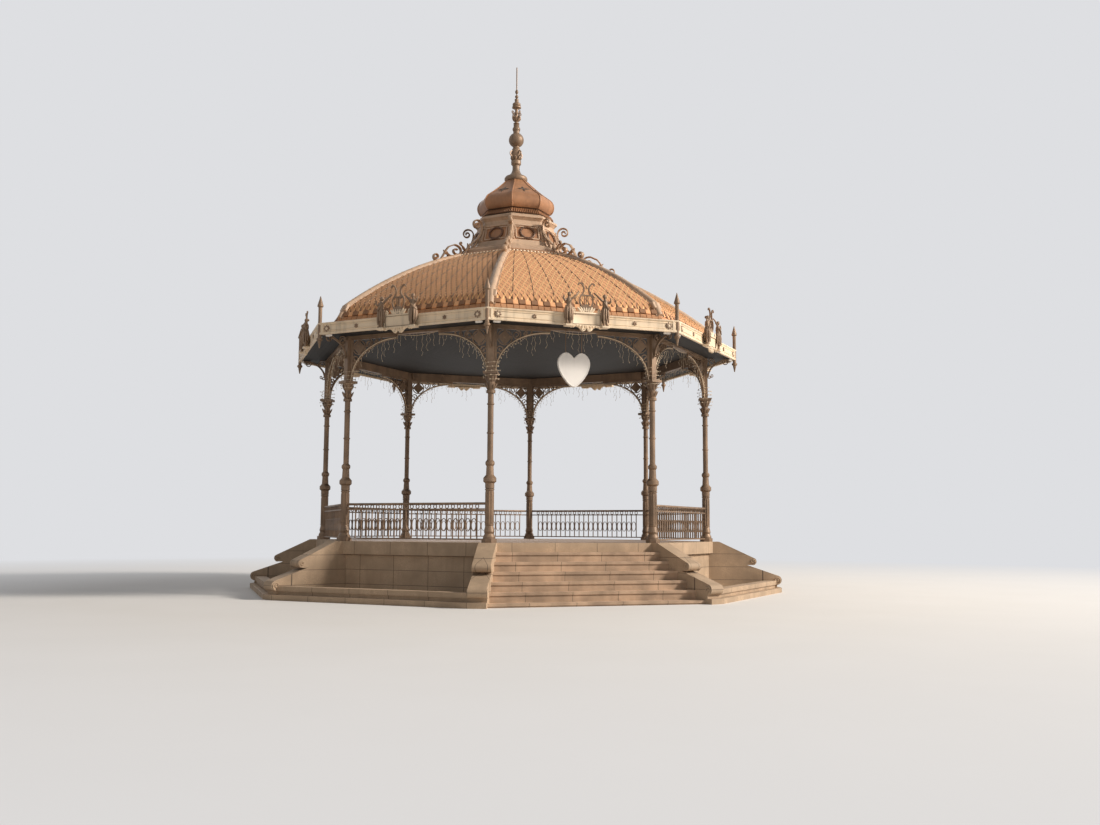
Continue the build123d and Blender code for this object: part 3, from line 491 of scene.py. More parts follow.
class Recipe:
    """A node material with short calls for its nodes."""

    def __init__(self, name, roughness, metallic=0.0):
        material = bpy.data.materials.new(name)
        material.use_nodes = True
        self.tree = material.node_tree
        self.shader = self.tree.nodes["Principled BSDF"]
        feed(self.tree, self.shader, {"Roughness": roughness, "Metallic": metallic})
        self.place = self.node("ShaderNodeTexCoord").outputs["Object"]
        self.side = None
        FINISHES[name] = material

    def node(self, kind, values=None, **settings):
        return new_node(self.tree, kind, values, **settings)

    def math(self, operation, first, second=None):
        values = {0: first, 1: second}
        return self.node("ShaderNodeMath", values, operation=operation).outputs[0]

    def plus(self, first, second):
        return self.math("ADD", first, second)

    def less(self, first, second):
        return self.math("SUBTRACT", first, second)

    def times(self, first, second):
        return self.math("MULTIPLY", first, second)

    def noise(self, scale, detail=4.0, stretch=None, roughness=0.5):
        """A noise value from 0 to 1, stretched by scaling its coordinates."""
        source = self.place
        if stretch:
            mapping = self.node("ShaderNodeMapping", {"Scale": stretch, "Vector": source})
            source = mapping.outputs["Vector"]
        values = {"Scale": scale, "Detail": detail, "Roughness": roughness, "Vector": source}
        return self.node("ShaderNodeTexNoise", values).outputs["Fac"]

    def ramp(self, value, low, high):
        """Spreads a value between two limits to 0 and 1."""
        values = {"From Min": low, "From Max": high, "Value": value}
        return self.node("ShaderNodeMapRange", values, clamp=True).outputs["Result"]

    def blend(self, share, first, second):
        """Mixes two colours, each a tuple or a socket."""
        values = {"Factor": share, 6: first, 7: second}
        return self.node("ShaderNodeMix", values, data_type="RGBA").outputs[2]

    def parts(self, vector):
        """The three parts of a vector."""
        return self.node("ShaderNodeSeparateXYZ", {0: vector}).outputs

    def side_place(self):
        """Place read along the nearest side, out from the axis, and up."""
        if self.side:
            return self.side
        x, y, z = self.parts(self.place)
        angle = self.plus(self.math("ARCTAN2", y, x), HALF)
        turned_by = self.times(self.math("FLOOR", self.math("DIVIDE", angle, TURN)), TURN)
        cosine = self.math("COSINE", turned_by)
        sine = self.math("SINE", turned_by)
        along = self.less(self.times(y, cosine), self.times(x, sine))
        out = self.plus(self.times(x, cosine), self.times(y, sine))
        self.side = (along, out, z)
        return self.side

    def lines(self, value, spacing, width, offset=0.0):
        """A mask that is 1 on evenly spaced lines."""
        nearness = self.math("PINGPONG", self.plus(value, offset), spacing / 2)
        return self.math("LESS_THAN", nearness, width / 2)

    def scatter(self, values, dimensions):
        """A tone from 0 to 1 that differs from cell to cell."""
        noise = self.node("ShaderNodeTexWhiteNoise", values, noise_dimensions=dimensions)
        return noise.outputs["Value"]

    def bump(self, height, strength, distance):
        values = {"Strength": strength, "Distance": distance, "Height": height}
        return self.node("ShaderNodeBump", values).outputs["Normal"]

    def finish(self, colour, normal=None, roughness=None):
        values = {"Base Color": colour, "Normal": normal, "Roughness": roughness}
        feed(self.tree, self.shader, values)


def tint(colour, factor):
    """A lighter or darker version of a colour."""
    return tuple(min(1.0, c * factor) for c in tuple(colour)[:3])


def weathered(recipe, colour, mottle=0.35, streaks=0.3):
    """Mottled colour with soft streaks that run down."""
    patches = recipe.ramp(recipe.noise(2.2, 6.0), 0.35, 0.68)
    base = recipe.blend(patches, tint(colour, 1 - mottle), tint(colour, 1 + mottle * 0.4))
    runs = recipe.ramp(recipe.noise(3.0, 5.0, stretch=(3.0, 3.0, 0.35)), 0.52, 0.72)
    return recipe.blend(recipe.times(runs, streaks), base, tint(colour, 0.35))


def make_stone(name, colour, joint_spacing, course=0.0, course_shift=0.0):
    """Masonry with joints along the side, and level courses where they are given."""
    recipe = Recipe(name, 0.85)
    along, _, up = recipe.side_place()
    body = weathered(recipe, colour)
    grain = recipe.noise(38.0, 8.0, roughness=0.7)
    pits = recipe.ramp(recipe.noise(90.0, 3.0), 0.3, 0.45)
    speckled = recipe.blend(recipe.ramp(grain, 0.35, 0.7), tint(colour, 0.72), body)
    joints = recipe.lines(along, joint_spacing, 0.012, joint_spacing / 2)
    if course:
        joints = recipe.math("MAXIMUM", joints, recipe.lines(up, course, 0.01, course_shift))
    lined = recipe.blend(joints, speckled, tint(colour, 0.25))
    height = recipe.plus(recipe.less(recipe.times(grain, 0.5), joints), recipe.times(pits, 0.3))
    recipe.finish(lined, recipe.bump(height, 0.5, 0.006), recipe.ramp(grain, -1.2, 1.1))


def make_steps(colour):
    """Worn treads with joints across, and painted shade on the risers: faces that do not face up are
    darker.
    """
    recipe = Recipe("worn_steps", 0.8)
    grain = recipe.noise(30.0, 8.0, roughness=0.7)
    body = weathered(recipe, colour, 0.4, 0.2)
    joints = recipe.lines(recipe.parts(recipe.place)[0], 1.06, 0.012, 0.53)
    # Painted shade: faces that turn away from up are mixed towards a dark tone
    facing = recipe.node("ShaderNodeNewGeometry").outputs["Normal"]
    level = recipe.ramp(recipe.parts(facing)["Z"], 0.2, 0.8)
    shaded_risers = recipe.blend(level, recipe.blend(0.35, body, tint(colour, 0.4)), body)
    lined = recipe.blend(joints, shaded_risers, tint(colour, 0.25))
    height = recipe.less(recipe.times(grain, 0.5), joints)
    recipe.finish(lined, recipe.bump(height, 0.5, 0.006), recipe.ramp(grain, -1.0, 1.2))


def make_floor(colour):
    """Square floor tiles with narrow joints."""
    recipe = Recipe("platform_tiles", 0.6)
    values = {
        "Scale": 1.0,
        "Mortar Size": 0.005,
        "Brick Width": 0.3,
        "Row Height": 0.3,
        "Color1": tint(colour, 0.9),
        "Color2": tint(colour, 1.08),
        "Mortar": tint(colour, 0.4),
        "Vector": recipe.place,
    }
    brick = recipe.node("ShaderNodeTexBrick", values, offset=0.0, squash=1.0)
    patches = recipe.ramp(recipe.noise(1.4, 6.0), 0.35, 0.7)
    worn = recipe.blend(patches, tint(colour, 0.75), brick.outputs["Color"])
    height = recipe.less(recipe.noise(40.0, 4.0), brick.outputs["Fac"])
    recipe.finish(worn, recipe.bump(height, 0.3, 0.003), recipe.ramp(patches, -1.6, 2.0))


def make_roof_tiles(name, colour, painted_lap_light=True):
    """Fired tiles that change in tone, with painted light on the laps: painted shadow as dark dashes
    one way and painted highlight as pale ones the other.
    """
    recipe = Recipe(name, 0.75)
    along, out, up = recipe.side_place()
    roof = sizes()
    centre, radius = roof_circle()
    angle = recipe.math("ARCTAN2", recipe.less(up, centre.y), recipe.less(out, centre.x))
    run = recipe.less(angle, roof_angle(roof.knee_apothem))
    rows = recipe.times(run, radius / roof.tile_height)
    places = recipe.math("DIVIDE", along, roof.tile_width)
    falling = recipe.plus(places, rows)
    rising = recipe.less(places, rows)
    cell = {
        0: recipe.math("FLOOR", recipe.plus(falling, 0.25)),
        1: recipe.math("FLOOR", recipe.plus(rising, 0.75)),
    }
    cell = recipe.node("ShaderNodeCombineXYZ", cell).outputs[0]
    tone = recipe.scatter({"Vector": cell}, "2D")
    body = recipe.blend(tone, tint(colour, 0.88), tint(colour, 1.1))
    patches = recipe.ramp(recipe.noise(0.9, 5.0), 0.4, 0.65)
    aged_and_lap_lit = recipe.blend(patches, recipe.blend(0.18, body, tint(colour, 0.5)), body)
    grain = recipe.noise(55.0, 6.0)
    height = recipe.times(grain, 0.4)
    if painted_lap_light:
        # Painted shadow under the tile laps: dark dashes along one diagonal, also sunk in the bump
        dark = recipe.lines(falling, 1.0, 0.3, 0.25)
        aged_and_lap_lit = recipe.blend(recipe.times(dark, 0.85), aged_and_lap_lit, tint(colour, 0.28))
        # Painted highlight on the tile edges: pale dashes along the other diagonal
        pale = recipe.lines(rising, 1.0, 0.26, -0.25)
        aged_and_lap_lit = recipe.blend(recipe.times(pale, 0.9), aged_and_lap_lit, tint(colour, 1.8))
        height = recipe.less(height, dark)
    recipe.finish(aged_and_lap_lit, recipe.bump(height, 0.3, 0.004), recipe.ramp(grain, -1.5, 1.2))


def make_metal(name, colour, roughness, metallic, mottle=0.3, streaks=0.35, lift=1.35):
    """Painted or dull metal, rubbed paler on its grain."""
    recipe = Recipe(name, roughness, metallic)
    body = weathered(recipe, colour, mottle, streaks)
    bump = recipe.bump(recipe.noise(70.0, 5.0), 0.15, 0.002)
    rubbed = recipe.ramp(recipe.noise(9.0, 8.0, roughness=0.7), 0.55, 0.75)
    worn = recipe.blend(recipe.times(rubbed, 0.5), body, tint(colour, lift))
    recipe.finish(worn, bump, recipe.ramp(rubbed, -roughness * 3, 1 + roughness))


def make_boards(colour):
    """Boards that run along each side, with dark gaps and grain."""
    recipe = Recipe("ceiling_boards", 0.7)
    out = recipe.side_place()[1]
    board = 0.12
    gaps = recipe.lines(out, board, 0.008)
    tone = recipe.scatter({"W": recipe.math("FLOOR", recipe.math("DIVIDE", out, board))}, "1D")
    grain = recipe.noise(14.0, 6.0)
    body = recipe.blend(tone, tint(colour, 0.75), tint(colour, 1.25))
    dark = recipe.blend(0.4, body, (0, 0, 0))
    fibre = recipe.blend(recipe.ramp(grain, 0.3, 0.7), dark, body)
    lined = recipe.blend(gaps, fibre, tint(colour, 0.15))
    height = recipe.less(recipe.times(grain, 0.3), gaps)
    recipe.finish(lined, recipe.bump(height, 0.5, 0.004))


def make_glass(colour):
    """Pale glass of the small lights."""
    recipe = Recipe("pale_glass", 0.2)
    grain = recipe.noise(40.0, 2.0)
    recipe.finish(recipe.blend(grain, tint(colour, 0.85), tint(colour, 1.1)))


# The frame's parts and the finish that each of them gets
CAD_FINISHES = {
    "wall_stone": "podium_wall buttresses",
    "coping_stone": "platform_coping kerbs kerb_plinths",
    "worn_steps": "step_1 step_2 step_3 step_4 step_5 step_6",
    "platform_tiles": "platform_floor",
    "bronze_iron": "column_bases column_shafts capitals posts ring_beams eave_spikes spire_collar "
    "spire_vase spire_ball spire_needle lantern_consoles right_spandrels left_spandrels "
    "eave_brackets railings heart_hangers cartouche_lyres cartouche_supporters",
    "cream_paint": "gutters cartouche_plaques",
    # The ceiling and soffits get the boards' near-black colour, which is painted shade
    "ceiling_boards": "ceiling soffits",
    "diamond_tiles": "roof_faces",
    "dull_lead": "roof_curb hip_rolls lantern_skirt lantern_drum lantern_frieze lantern_dome",
    "pale_lead": "lantern_base lantern_cornice",
    "white_paint": "heart_sign",
}


class BANDSTAND_OT_finishes(Operator):
    """Makes the finishes and puts them on the frame's parts"""

    bl_idname = "bandstand.finishes"
    bl_label = "Finishes"

    def execute(self, context):
        colours = context.scene.bandstand_colours
        make_stone("wall_stone", colours.stone, 0.95, 0.34, 0.02)
        make_stone("coping_stone", colours.stone, 1.02)
        make_steps(colours.step)
        make_floor(colours.floor)
        make_roof_tiles("diamond_tiles", colours.tile)
        make_roof_tiles("pale_tiles", tint(colours.tile, 1.45), painted_lap_light=False)
        make_roof_tiles("worn_tiles", tint(colours.tile, 0.8), painted_lap_light=False)
        make_roof_tiles("brown_tiles", tint(colours.tile, 0.42), painted_lap_light=False)
        make_metal("pale_lead", tint(colours.step, 0.95), 0.5, 0.0, mottle=0.15, lift=1.15)
        # Painted light: a paler copy of the iron for the consoles, for the light they catch
        make_metal("painted_lit_iron", tint(colours.iron, 1.75), 0.42, 0.2, lift=1.5)
        # Painted shade: a darker copy of the lead for the wreaths and for the frieze core between its
        # reeds
        make_metal("painted_shade_lead", tint(colours.lead, 0.35), 0.55, 0.15)
        make_metal("dull_lead", colours.lead, 0.5, 0.15)
        make_metal("bronze_iron", colours.iron, 0.45, 0.3, lift=1.8)
        make_metal("dark_iron", tint(colours.iron, 0.45), 0.5, 0.3, lift=2.0)
        make_metal("cream_paint", colours.cream, 0.45, 0.0, mottle=0.12, lift=1.08)
        make_metal("white_paint", colours.white, 0.4, 0.0, mottle=0.05, streaks=0.08, lift=1.02)
        make_boards(colours.boards)
        make_glass(tint(colours.cream, 0.75))
        for finish, names in CAD_FINISHES.items():
            for name in names.split():
                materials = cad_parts[name].data.materials
                materials.clear()
                materials.append(FINISHES[finish])
        return {"FINISHED"}


# Roof


def roof_circle():
    """Centre and radius of the roof's curve in the plane of apothem and height."""
    roof = sizes()
    a = Vector((roof.knee_apothem, roof.knee_height))
    b = Vector((roof.middle_apothem, roof.middle_height))
    c = Vector((roof.top_apothem, ROOF_HIGH.z))
    d = 2 * (a.x * (b.y - c.y) + b.x * (c.y - a.y) + c.x * (a.y - b.y))
    squares = [p.length_squared for p in (a, b, c)]
    x = (squares[0] * (b.y - c.y) + squares[1] * (c.y - a.y) + squares[2] * (a.y - b.y)) / d
    y = (squares[0] * (c.x - b.x) + squares[1] * (a.x - c.x) + squares[2] * (b.x - a.x)) / d
    centre = Vector((x, y))
    return centre, (a - centre).length


def roof_angle(apothem):
    centre, radius = roof_circle()
    return math.acos((apothem - centre.x) / radius)


def roof_spot(angle, lift=0.0):
    centre, radius = roof_circle()
    return (
        centre.x + (radius + lift) * math.cos(angle),
        centre.y + (radius + lift) * math.sin(angle),
    )


def trim_to_side(piece, joint=0.0):
    """Cuts a piece of the +X side at both hips."""
    open_mesh(piece)
    for hand in (1, -1):
        bpy.ops.mesh.select_all(action="SELECT")
        bpy.ops.mesh.bisect(
            plane_co=(joint / math.sin(HALF), 0, 0),
            plane_no=(-math.sin(HALF), hand * math.cos(HALF), 0),
            clear_outer=True,
            use_fill=True,
        )
    deselect()
    return piece


def foot_lean():
    """Tilt from upright of the straight strip between the roof's foot and its knee."""
    roof = sizes()
    return math.atan2(ROOF_HIGH.x - roof.knee_apothem, roof.knee_height - ROOF_LOW.z - FOOT_LIFT)


def rib(section, low_angle, high_angle, steps, straight=True):
    """A strip with a small section (across, lift) that lies on the roof's curve at y = 0."""
    roof = sizes()
    centre, _ = roof_circle()
    out = Vector((math.cos(high_angle), 0, math.sin(high_angle)))
    x, z = roof_spot(high_angle)
    piece = drawn([Vector((x, across, z)) + out * lift for across, lift in section])
    open_mesh(piece)
    bpy.ops.mesh.spin(
        steps=steps,
        angle=low_angle - high_angle,
        center=(centre.x, 0, centre.y),
        axis=(0, 1, 0),
    )
    if straight:
        foot = Vector((ROOF_HIGH.x, 0, ROOF_LOW.z + FOOT_LIFT))
        extrude(*(foot - Vector((roof.knee_apothem, 0, roof.knee_height))))
    close_mesh()
    return piece


def fanned(piece, *turns):
    """Copies a strip of the plane y = 0 to radial lines of the roof, and removes it."""
    copies = [
        copied(piece, turn(angle, "Z") @ stretch(1 / math.cos(angle), 1, 1)) for angle in turns
    ]
    bpy.data.objects.remove(piece)
    return copies


class BANDSTAND_OT_roof_tiles(Operator):
    """Lays the diamond tiles row by row and copies them to the eight faces"""

    bl_idname = "bandstand.roof_tiles"
    bl_label = "Roof tiles"

    def execute(self, context):
        roof = sizes()
        width, height = roof.tile_width, roof.tile_height
        deselect()
        bpy.ops.mesh.primitive_circle_add(vertices=4, radius=1, fill_type="NGON")
        tile = bpy.context.object
        tile.scale = (height / 2, width / 2, 1)
        open_mesh(settle(tile))
        extrude(0, 0, roof.tile_thickness)
        bpy.ops.transform.resize(value=(0.95, 0.9, 1), center_override=(0, 0, 0))
        close_mesh()
        low = roof_angle(roof.knee_apothem)
        high = roof_angle(roof.flashing_apothem)
        pitch = height / 2 / roof_circle()[1]
        lean = math.atan2(roof.tile_thickness, height / 2)
        rows = []
        steep = foot_lean()
        for row in range(-1, int((high - low) / pitch) + 1):
            angle = low + (row + 0.5) * pitch
            x, z = roof_spot(angle, roof.tile_thickness * 0.35)
            if row < 0:
                angle = steep
                x = roof.knee_apothem + height / 4 * math.sin(steep) + 0.004
                z = roof.knee_height - height / 4 * math.cos(steep)
            count = int(x * TAN_HALF / width) + 2
            start = (row % 2) * width / 2 - count * width
            strip = copied(tile, shift(x, start, z) @ turn(math.pi / 2 - angle + lean, "Y"))
            only(strip)
            array = strip.modifiers.new("Row", "ARRAY")
            array.count = 2 * count + 1
            array.use_relative_offset = False
            array.use_constant_offset = True
            array.constant_offset_displace = (0, width, 0)
            bpy.ops.object.modifier_apply(modifier=array.name)
            rows.append(strip)
        bpy.data.objects.remove(tile)
        field = trim_to_side(join("roof_tile_field", rows), 0.02)
        for side in range(SIDES):
            face = copied(field, turn(side * TURN, "Z"))
            face.name = f"roof_tile_field_{side + 1}"
            dressed(face, "diamond_tiles")
        bpy.data.objects.remove(field)
        return {"FINISHED"}


class BANDSTAND_OT_foot_tiles(Operator):
    """Stands the upright tiles along the foot of the roof"""

    bl_idname = "bandstand.foot_tiles"
    bl_label = "Foot tiles"

    def execute(self, context):
        roof = sizes()
        knee = Vector((roof.knee_apothem, roof.knee_height))
        lean = foot_lean()
        drop, gap, joint = 0.39, 0.02, 0.012
        foot = Vector((knee.x + drop * math.tan(lean), knee.y - drop))
        step = roof.upright_width + gap
        count = int(foot.x * TAN_HALF / step)
        split = roof.upright_height * 0.5
        courses = {"roof_foot_tiles": [], "roof_crest_tiles": [], "roof_pale_tiles": []}
        for number in range(-count, count + 1):
            crest, wider, thick = "roof_pale_tiles", 0, 0.034
            if number % 2:
                crest, wider, thick = "roof_crest_tiles", 0.02, 0.05
            for name, height, base, thickness in (
                ("roof_foot_tiles", split - joint, 0.0, 0.026),
                (crest, roof.upright_height - split, split, thick),
            ):
                size = (thickness, roof.upright_width + wider, height)
                upright = block(size, (thickness / 2, 0, base + height / 2), 0.005)
                place = (foot.x, number * step, foot.y)
                courses[name].append(placed(upright, place, turn(-lean, "Y")))
        for name, finish in (
            ("roof_foot_tiles", "worn_tiles"),
            ("roof_crest_tiles", "brown_tiles"),
            ("roof_pale_tiles", "pale_tiles"),
        ):
            course = trim_to_side(join(name, courses[name]))
            dressed(on_sides(name, [course]), finish)
        return {"FINISHED"}


class BANDSTAND_OT_hips_and_seams(Operator):
    """Lays the hip rolls, the fanned seams and the beaded edge of the flashing"""

    bl_idname = "bandstand.hips_and_seams"
    bl_label = "Hips and seams"

    def execute(self, context):
        roof = sizes()
        low = roof_angle(roof.knee_apothem)
        high = roof_angle(roof.flashing_apothem)

        def arc(radius, turns):
            return [(radius * math.cos(angle), radius * math.sin(angle)) for angle in turns]

        wing = roof.hip_radius * 1.45
        over = arc(roof.hip_radius, (0.0, 0.52, 1.05, 1.57, 2.09, 2.62, math.pi))
        section = [(wing, 0.004), *over, (-wing, 0.004), (-wing, -0.02), (wing, -0.02)]
        rolls = fanned(rib(section, low, high, 22), HALF)
        collar = arc(roof.hip_radius + 0.005, (-0.4, 0.2, 0.8, 1.57, 2.34, 2.94, 3.54))
        span = 0.02 / roof_circle()[1]
        count = 7
        for number in range(count):
            angle = low + (high - low) * (number + 0.5) / count
            rolls += fanned(rib(collar, angle, angle + span, 1, False), HALF)
        covers = on_sides("hip_covers", rolls)
        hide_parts("hip_rolls")
        dressed(covers, "pale_lead", 40)
        x, z = roof_spot(low)
        stop = block((0.09, 0.26, 0.2), bevel=0.02)
        stops = [placed(stop, (x / COS_HALF + 0.03, 0, z - 0.03), turn(-0.5, "Y"))]
        dressed(on_corners("hip_stops", stops), "pale_lead", 40)
        side = roof.seam_width / 2
        seam = rib([(side, -0.01), (side, 0.022), (-side, 0.022), (-side, -0.01)], low, high, 22)
        half = (roof.seam_count + 1) / 2
        shares = [(number - half + 1) / half for number in range(roof.seam_count)]
        seams = fanned(seam, *(math.atan(TAN_HALF * share) for share in shares))
        dressed(on_sides("roof_seams", seams), "dark_iron")
        beads = []
        x, z = roof_spot(high)
        count = 15
        for number in range(count):
            along = x * TAN_HALF * (2 * (number + 0.5) / count - 1)
            bead = turned([(0.03, 0.0), (0.045, 0.02), (0.032, 0.05)], sides=8)
            beads.append(placed(bead, (x, along, z), turn(math.pi / 2 - high, "Y")))
        dressed(on_sides("flashing_scallops", beads), "cream_paint", 50)
        return {"FINISHED"}


# Lantern, dome and spire


def on_drum(piece, across, up, lift=0.0):
    """Stands a piece drawn upright at x = 0 on the battered drum face."""
    inset = (DRUM_TOP - DRUM_HIGH.x) * up / DRUM_RISE
    lean = math.atan2(DRUM_HIGH.x - DRUM_TOP, DRUM_RISE)
    return placed(piece, (DRUM_HIGH.x + inset + lift, across, DRUM_LOW.z + up), turn(-lean, "Y"))


class BANDSTAND_OT_lantern(Operator):
    """Frames the lantern's panels, hangs the wreaths and stands the pilasters"""

    bl_idname = "bandstand.lantern"
    bl_label = "Lantern panels"

    def execute(self, context):
        middle = DRUM_RISE / 2
        wide, tall = DRUM_HIGH.x * TAN_HALF * 1.34, DRUM_RISE * 0.78
        bars = []
        for size, across, up in (
            ((0.035, 0.04, tall + 0.04), -wide / 2, middle),
            ((0.035, 0.04, tall + 0.04), wide / 2, middle),
            ((0.035, wide, 0.04), 0, middle - tall / 2),
            ((0.035, wide, 0.04), 0, middle + tall / 2),
        ):
            bars.append(on_drum(block(size, (0.01, 0, 0), 0.01), across, up))
        dressed(on_sides("lantern_panel_frames", bars), "pale_lead", 40)
        wide = ornament().wreath_width / 2
        tall = wide * 0.85
        oval = [(0, wide * math.cos(angle), tall * math.sin(angle)) for angle in angles(20)]
        wreath = [on_drum(bar(oval, 0.03, closed=True), 0, middle, 0.016)]
        for angle in angles(14):
            leaf = turned([(0.004, 0.0), (0.022, 0.025), (0.004, 0.07)], sides=6)
            place = (0.02, wide * math.cos(angle), tall * math.sin(angle))
            wreath.append(on_drum(placed(leaf, place, turn(angle + 0.5, "X")), 0, middle, 0.012))
        for hand in (-1, 1):
            tail = ((0.02, 0.85), (0.07, 1.0), (0.11, 0.9), (0.15, 1.02))
            tail = [(0.01, hand * across, -wide * down) for across, down in tail]
            wreath.append(on_drum(bar(tail, 0.012), 0, middle, 0.01))
        # The wreaths take the darker lead, painted shade for their deep relief
        dressed(on_sides("lantern_wreaths", wreath), "painted_shade_lead", 50)
        shafts = []
        lean = math.atan2(DRUM_HIGH.x - DRUM_TOP, DRUM_RISE) / COS_HALF
        for width, height, base, deep in (
            (0.17, DRUM_RISE * 0.72, 0.06, 0.06),
            (0.21, 0.06, 0.0, 0.08),
            (0.21, 0.06, DRUM_RISE - 0.07, 0.08),
        ):
            shaft = block((deep, width, height), (0, 0, height / 2), 0.012)
            reach = DRUM_HIGH.x / COS_HALF - base * math.tan(lean) - deep * 0.15
            shafts.append(placed(shaft, (reach, 0, DRUM_LOW.z + base), turn(-lean, "Y")))
        dressed(on_corners("lantern_pilasters", shafts), "pale_lead", 40)
        return {"FINISHED"}


class BANDSTAND_OT_consoles(Operator):
    """Draws the S-scroll consoles from the hips up to the lantern, with their leaves"""

    bl_idname = "bandstand.consoles"
    bl_label = "Scroll consoles"

    def execute(self, context):
        eye_x, eye_z = 2.045, 9.005
        outer = []
        steps, sweep = 30, 7.6
        for step in range(steps):
            left = sweep - step * sweep / steps
            size = 0.8 ** (left * 0.85)
            x = eye_x + 0.235 * size * math.cos(left + 1.05)
            outer.append((x, eye_z + 0.175 * size * math.sin(left + 1.05)))
        outer += flowing([(2.285, 9.085), (2.37, 8.98), (2.44, 8.86), (2.53, 8.715), (2.6, 8.655)], 3)
        outer += spiral((2.682, 8.745), 0.11, 0.035, -math.pi / 2, 7.4, 28)
        inner = [(2.37, 8.93), (2.27, 8.855), (2.06, 8.828), (1.87, 8.885), (1.74, 9.04), (1.63, 9.2)]
        inner += [(1.5, 9.33), (1.37, 9.44), (1.265, 9.56), (1.2, 9.7), (1.185, 9.85)]
        inner = flowing(inner)[:-1] + spiral((1.362, 9.85), 0.177, 0.035, math.pi, -9.6, 36)
        curl = [(1.83, 9.16)] + spiral((1.885, 9.245), 0.05, 0.016, -math.pi * 0.6, 7.0, 20)
        made = [
            ribbon(outer, 0.034, 0.11),
            ribbon(inner, 0.036, 0.11),
            ribbon(curl, 0.026, 0.07),
        ]
        for x, z, lean, length in (
            (1.5, 9.14, -0.5, 0.26),
            (1.42, 9.24, -0.35, 0.26),
            (1.34, 9.35, -0.2, 0.26),
            (1.6, 9.1, 0.35, 0.2),
            (1.74, 9.06, 0.7, 0.18),
            (2.33, 8.86, 0.9, 0.17),
        ):
            profile = [(0.02, 0.0), (0.045, length * 0.3), (0.04, length * 0.65), (0.01, length)]
            leaf = turned(profile, sides=8)
            made.append(placed(leaf, (x, 0, z), turn(lean, "Y"), stretch(0.7, 1.2, 1)))
        consoles = on_corners("console_scrolls", made)
        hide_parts("lantern_consoles")
        # The consoles take the paler copy of the iron, which is painted light
        dressed(consoles, "painted_lit_iron", 50)
        return {"FINISHED"}


class BANDSTAND_OT_frieze(Operator):
    """Models the fluted frieze that flares below the dome"""

    bl_idname = "bandstand.frieze"
    bl_label = "Fluted frieze"

    def execute(self, context):
        low, high = FRIEZE_LOW.z, FRIEZE_HIGH.z
        bottom, top = 0.99, 0.86
        profile = [
            (bottom / COS_HALF, low),
            ((bottom - 0.02) / COS_HALF, low + 0.02),
            (top / COS_HALF, high - 0.03),
            ((top + 0.03) / COS_HALF, high),
        ]
        core = join("lantern_flutes", [turned(profile, sides=SIDES, twist=HALF)])
        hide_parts("lantern_frieze")
        # The core that shows between the reeds takes the darker lead, painted shade
        dressed(core, "painted_shade_lead", 40)
        reeds = []
        count = 15
        lean = math.atan2(bottom - top, high - low)
        for number in range(count):
            share = 2 * (number + 0.5) / count - 1
            reed = turned([(0.014, 0.0), (0.02, 0.015), (0.02, 0.13), (0.012, 0.15)], sides=6)
            place = (bottom - 0.012, share * bottom * TAN_HALF, low + 0.02)
            reeds.append(placed(reed, place, turn(share * 0.14, "X"), turn(-lean, "Y")))
        dressed(on_sides("lantern_reeds", reeds), "dull_lead", 40)
        return {"FINISHED"}


def dome_profile():
    """The dome's corner line, read from the frame's mesh, from its foot to its neck."""
    corner = Vector((math.cos(HALF), math.sin(HALF)))
    points = {}
    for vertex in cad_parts["lantern_dome"].data.vertices:
        spot = Vector(vertex.co[:2])
        aside = abs(spot.x * corner.y - spot.y * corner.x)
        if spot.length > 0.05 and aside < 0.002 and spot.dot(corner) > 0:
            height = round(vertex.co.z, 3)
            points[height] = max(spot.length, points.get(height, 0))
    return sorted(points.items())


class BANDSTAND_OT_dome(Operator):
    """Adds the dome's corner rolls and the crosses on its faces"""

    bl_idname = "bandstand.dome"
    bl_label = "Dome ornament"

    def execute(self, context):
        line = dome_profile()
        seam = bar([(reach, 0, height) for height, reach in line], 0.018)
        dressed(on_corners("dome_rolls", [seam]), "dull_lead", 50)
        middle = line[-1][0] - 0.4
        above = min(point for point in line if point[0] > middle)
        below = max(point for point in line if point[0] <= middle)
        share = (middle - below[0]) / (above[0] - below[0])
        apothem = (below[1] + (above[1] - below[1]) * share) * COS_HALF
        lean = math.atan2((below[1] - above[1]) * COS_HALF, above[0] - below[0])
        petal = [(0.01, 0.0), (0.03, 0.04), (0.036, 0.1), (0.008, 0.17)]
        petals = flower(4, petal, (apothem + 0.006, 0, middle), turn(-lean, "Y"), flat=0.5)
        dressed(on_sides("dome_crosses", petals), "dark_iron", 50)
        return {"FINISHED"}


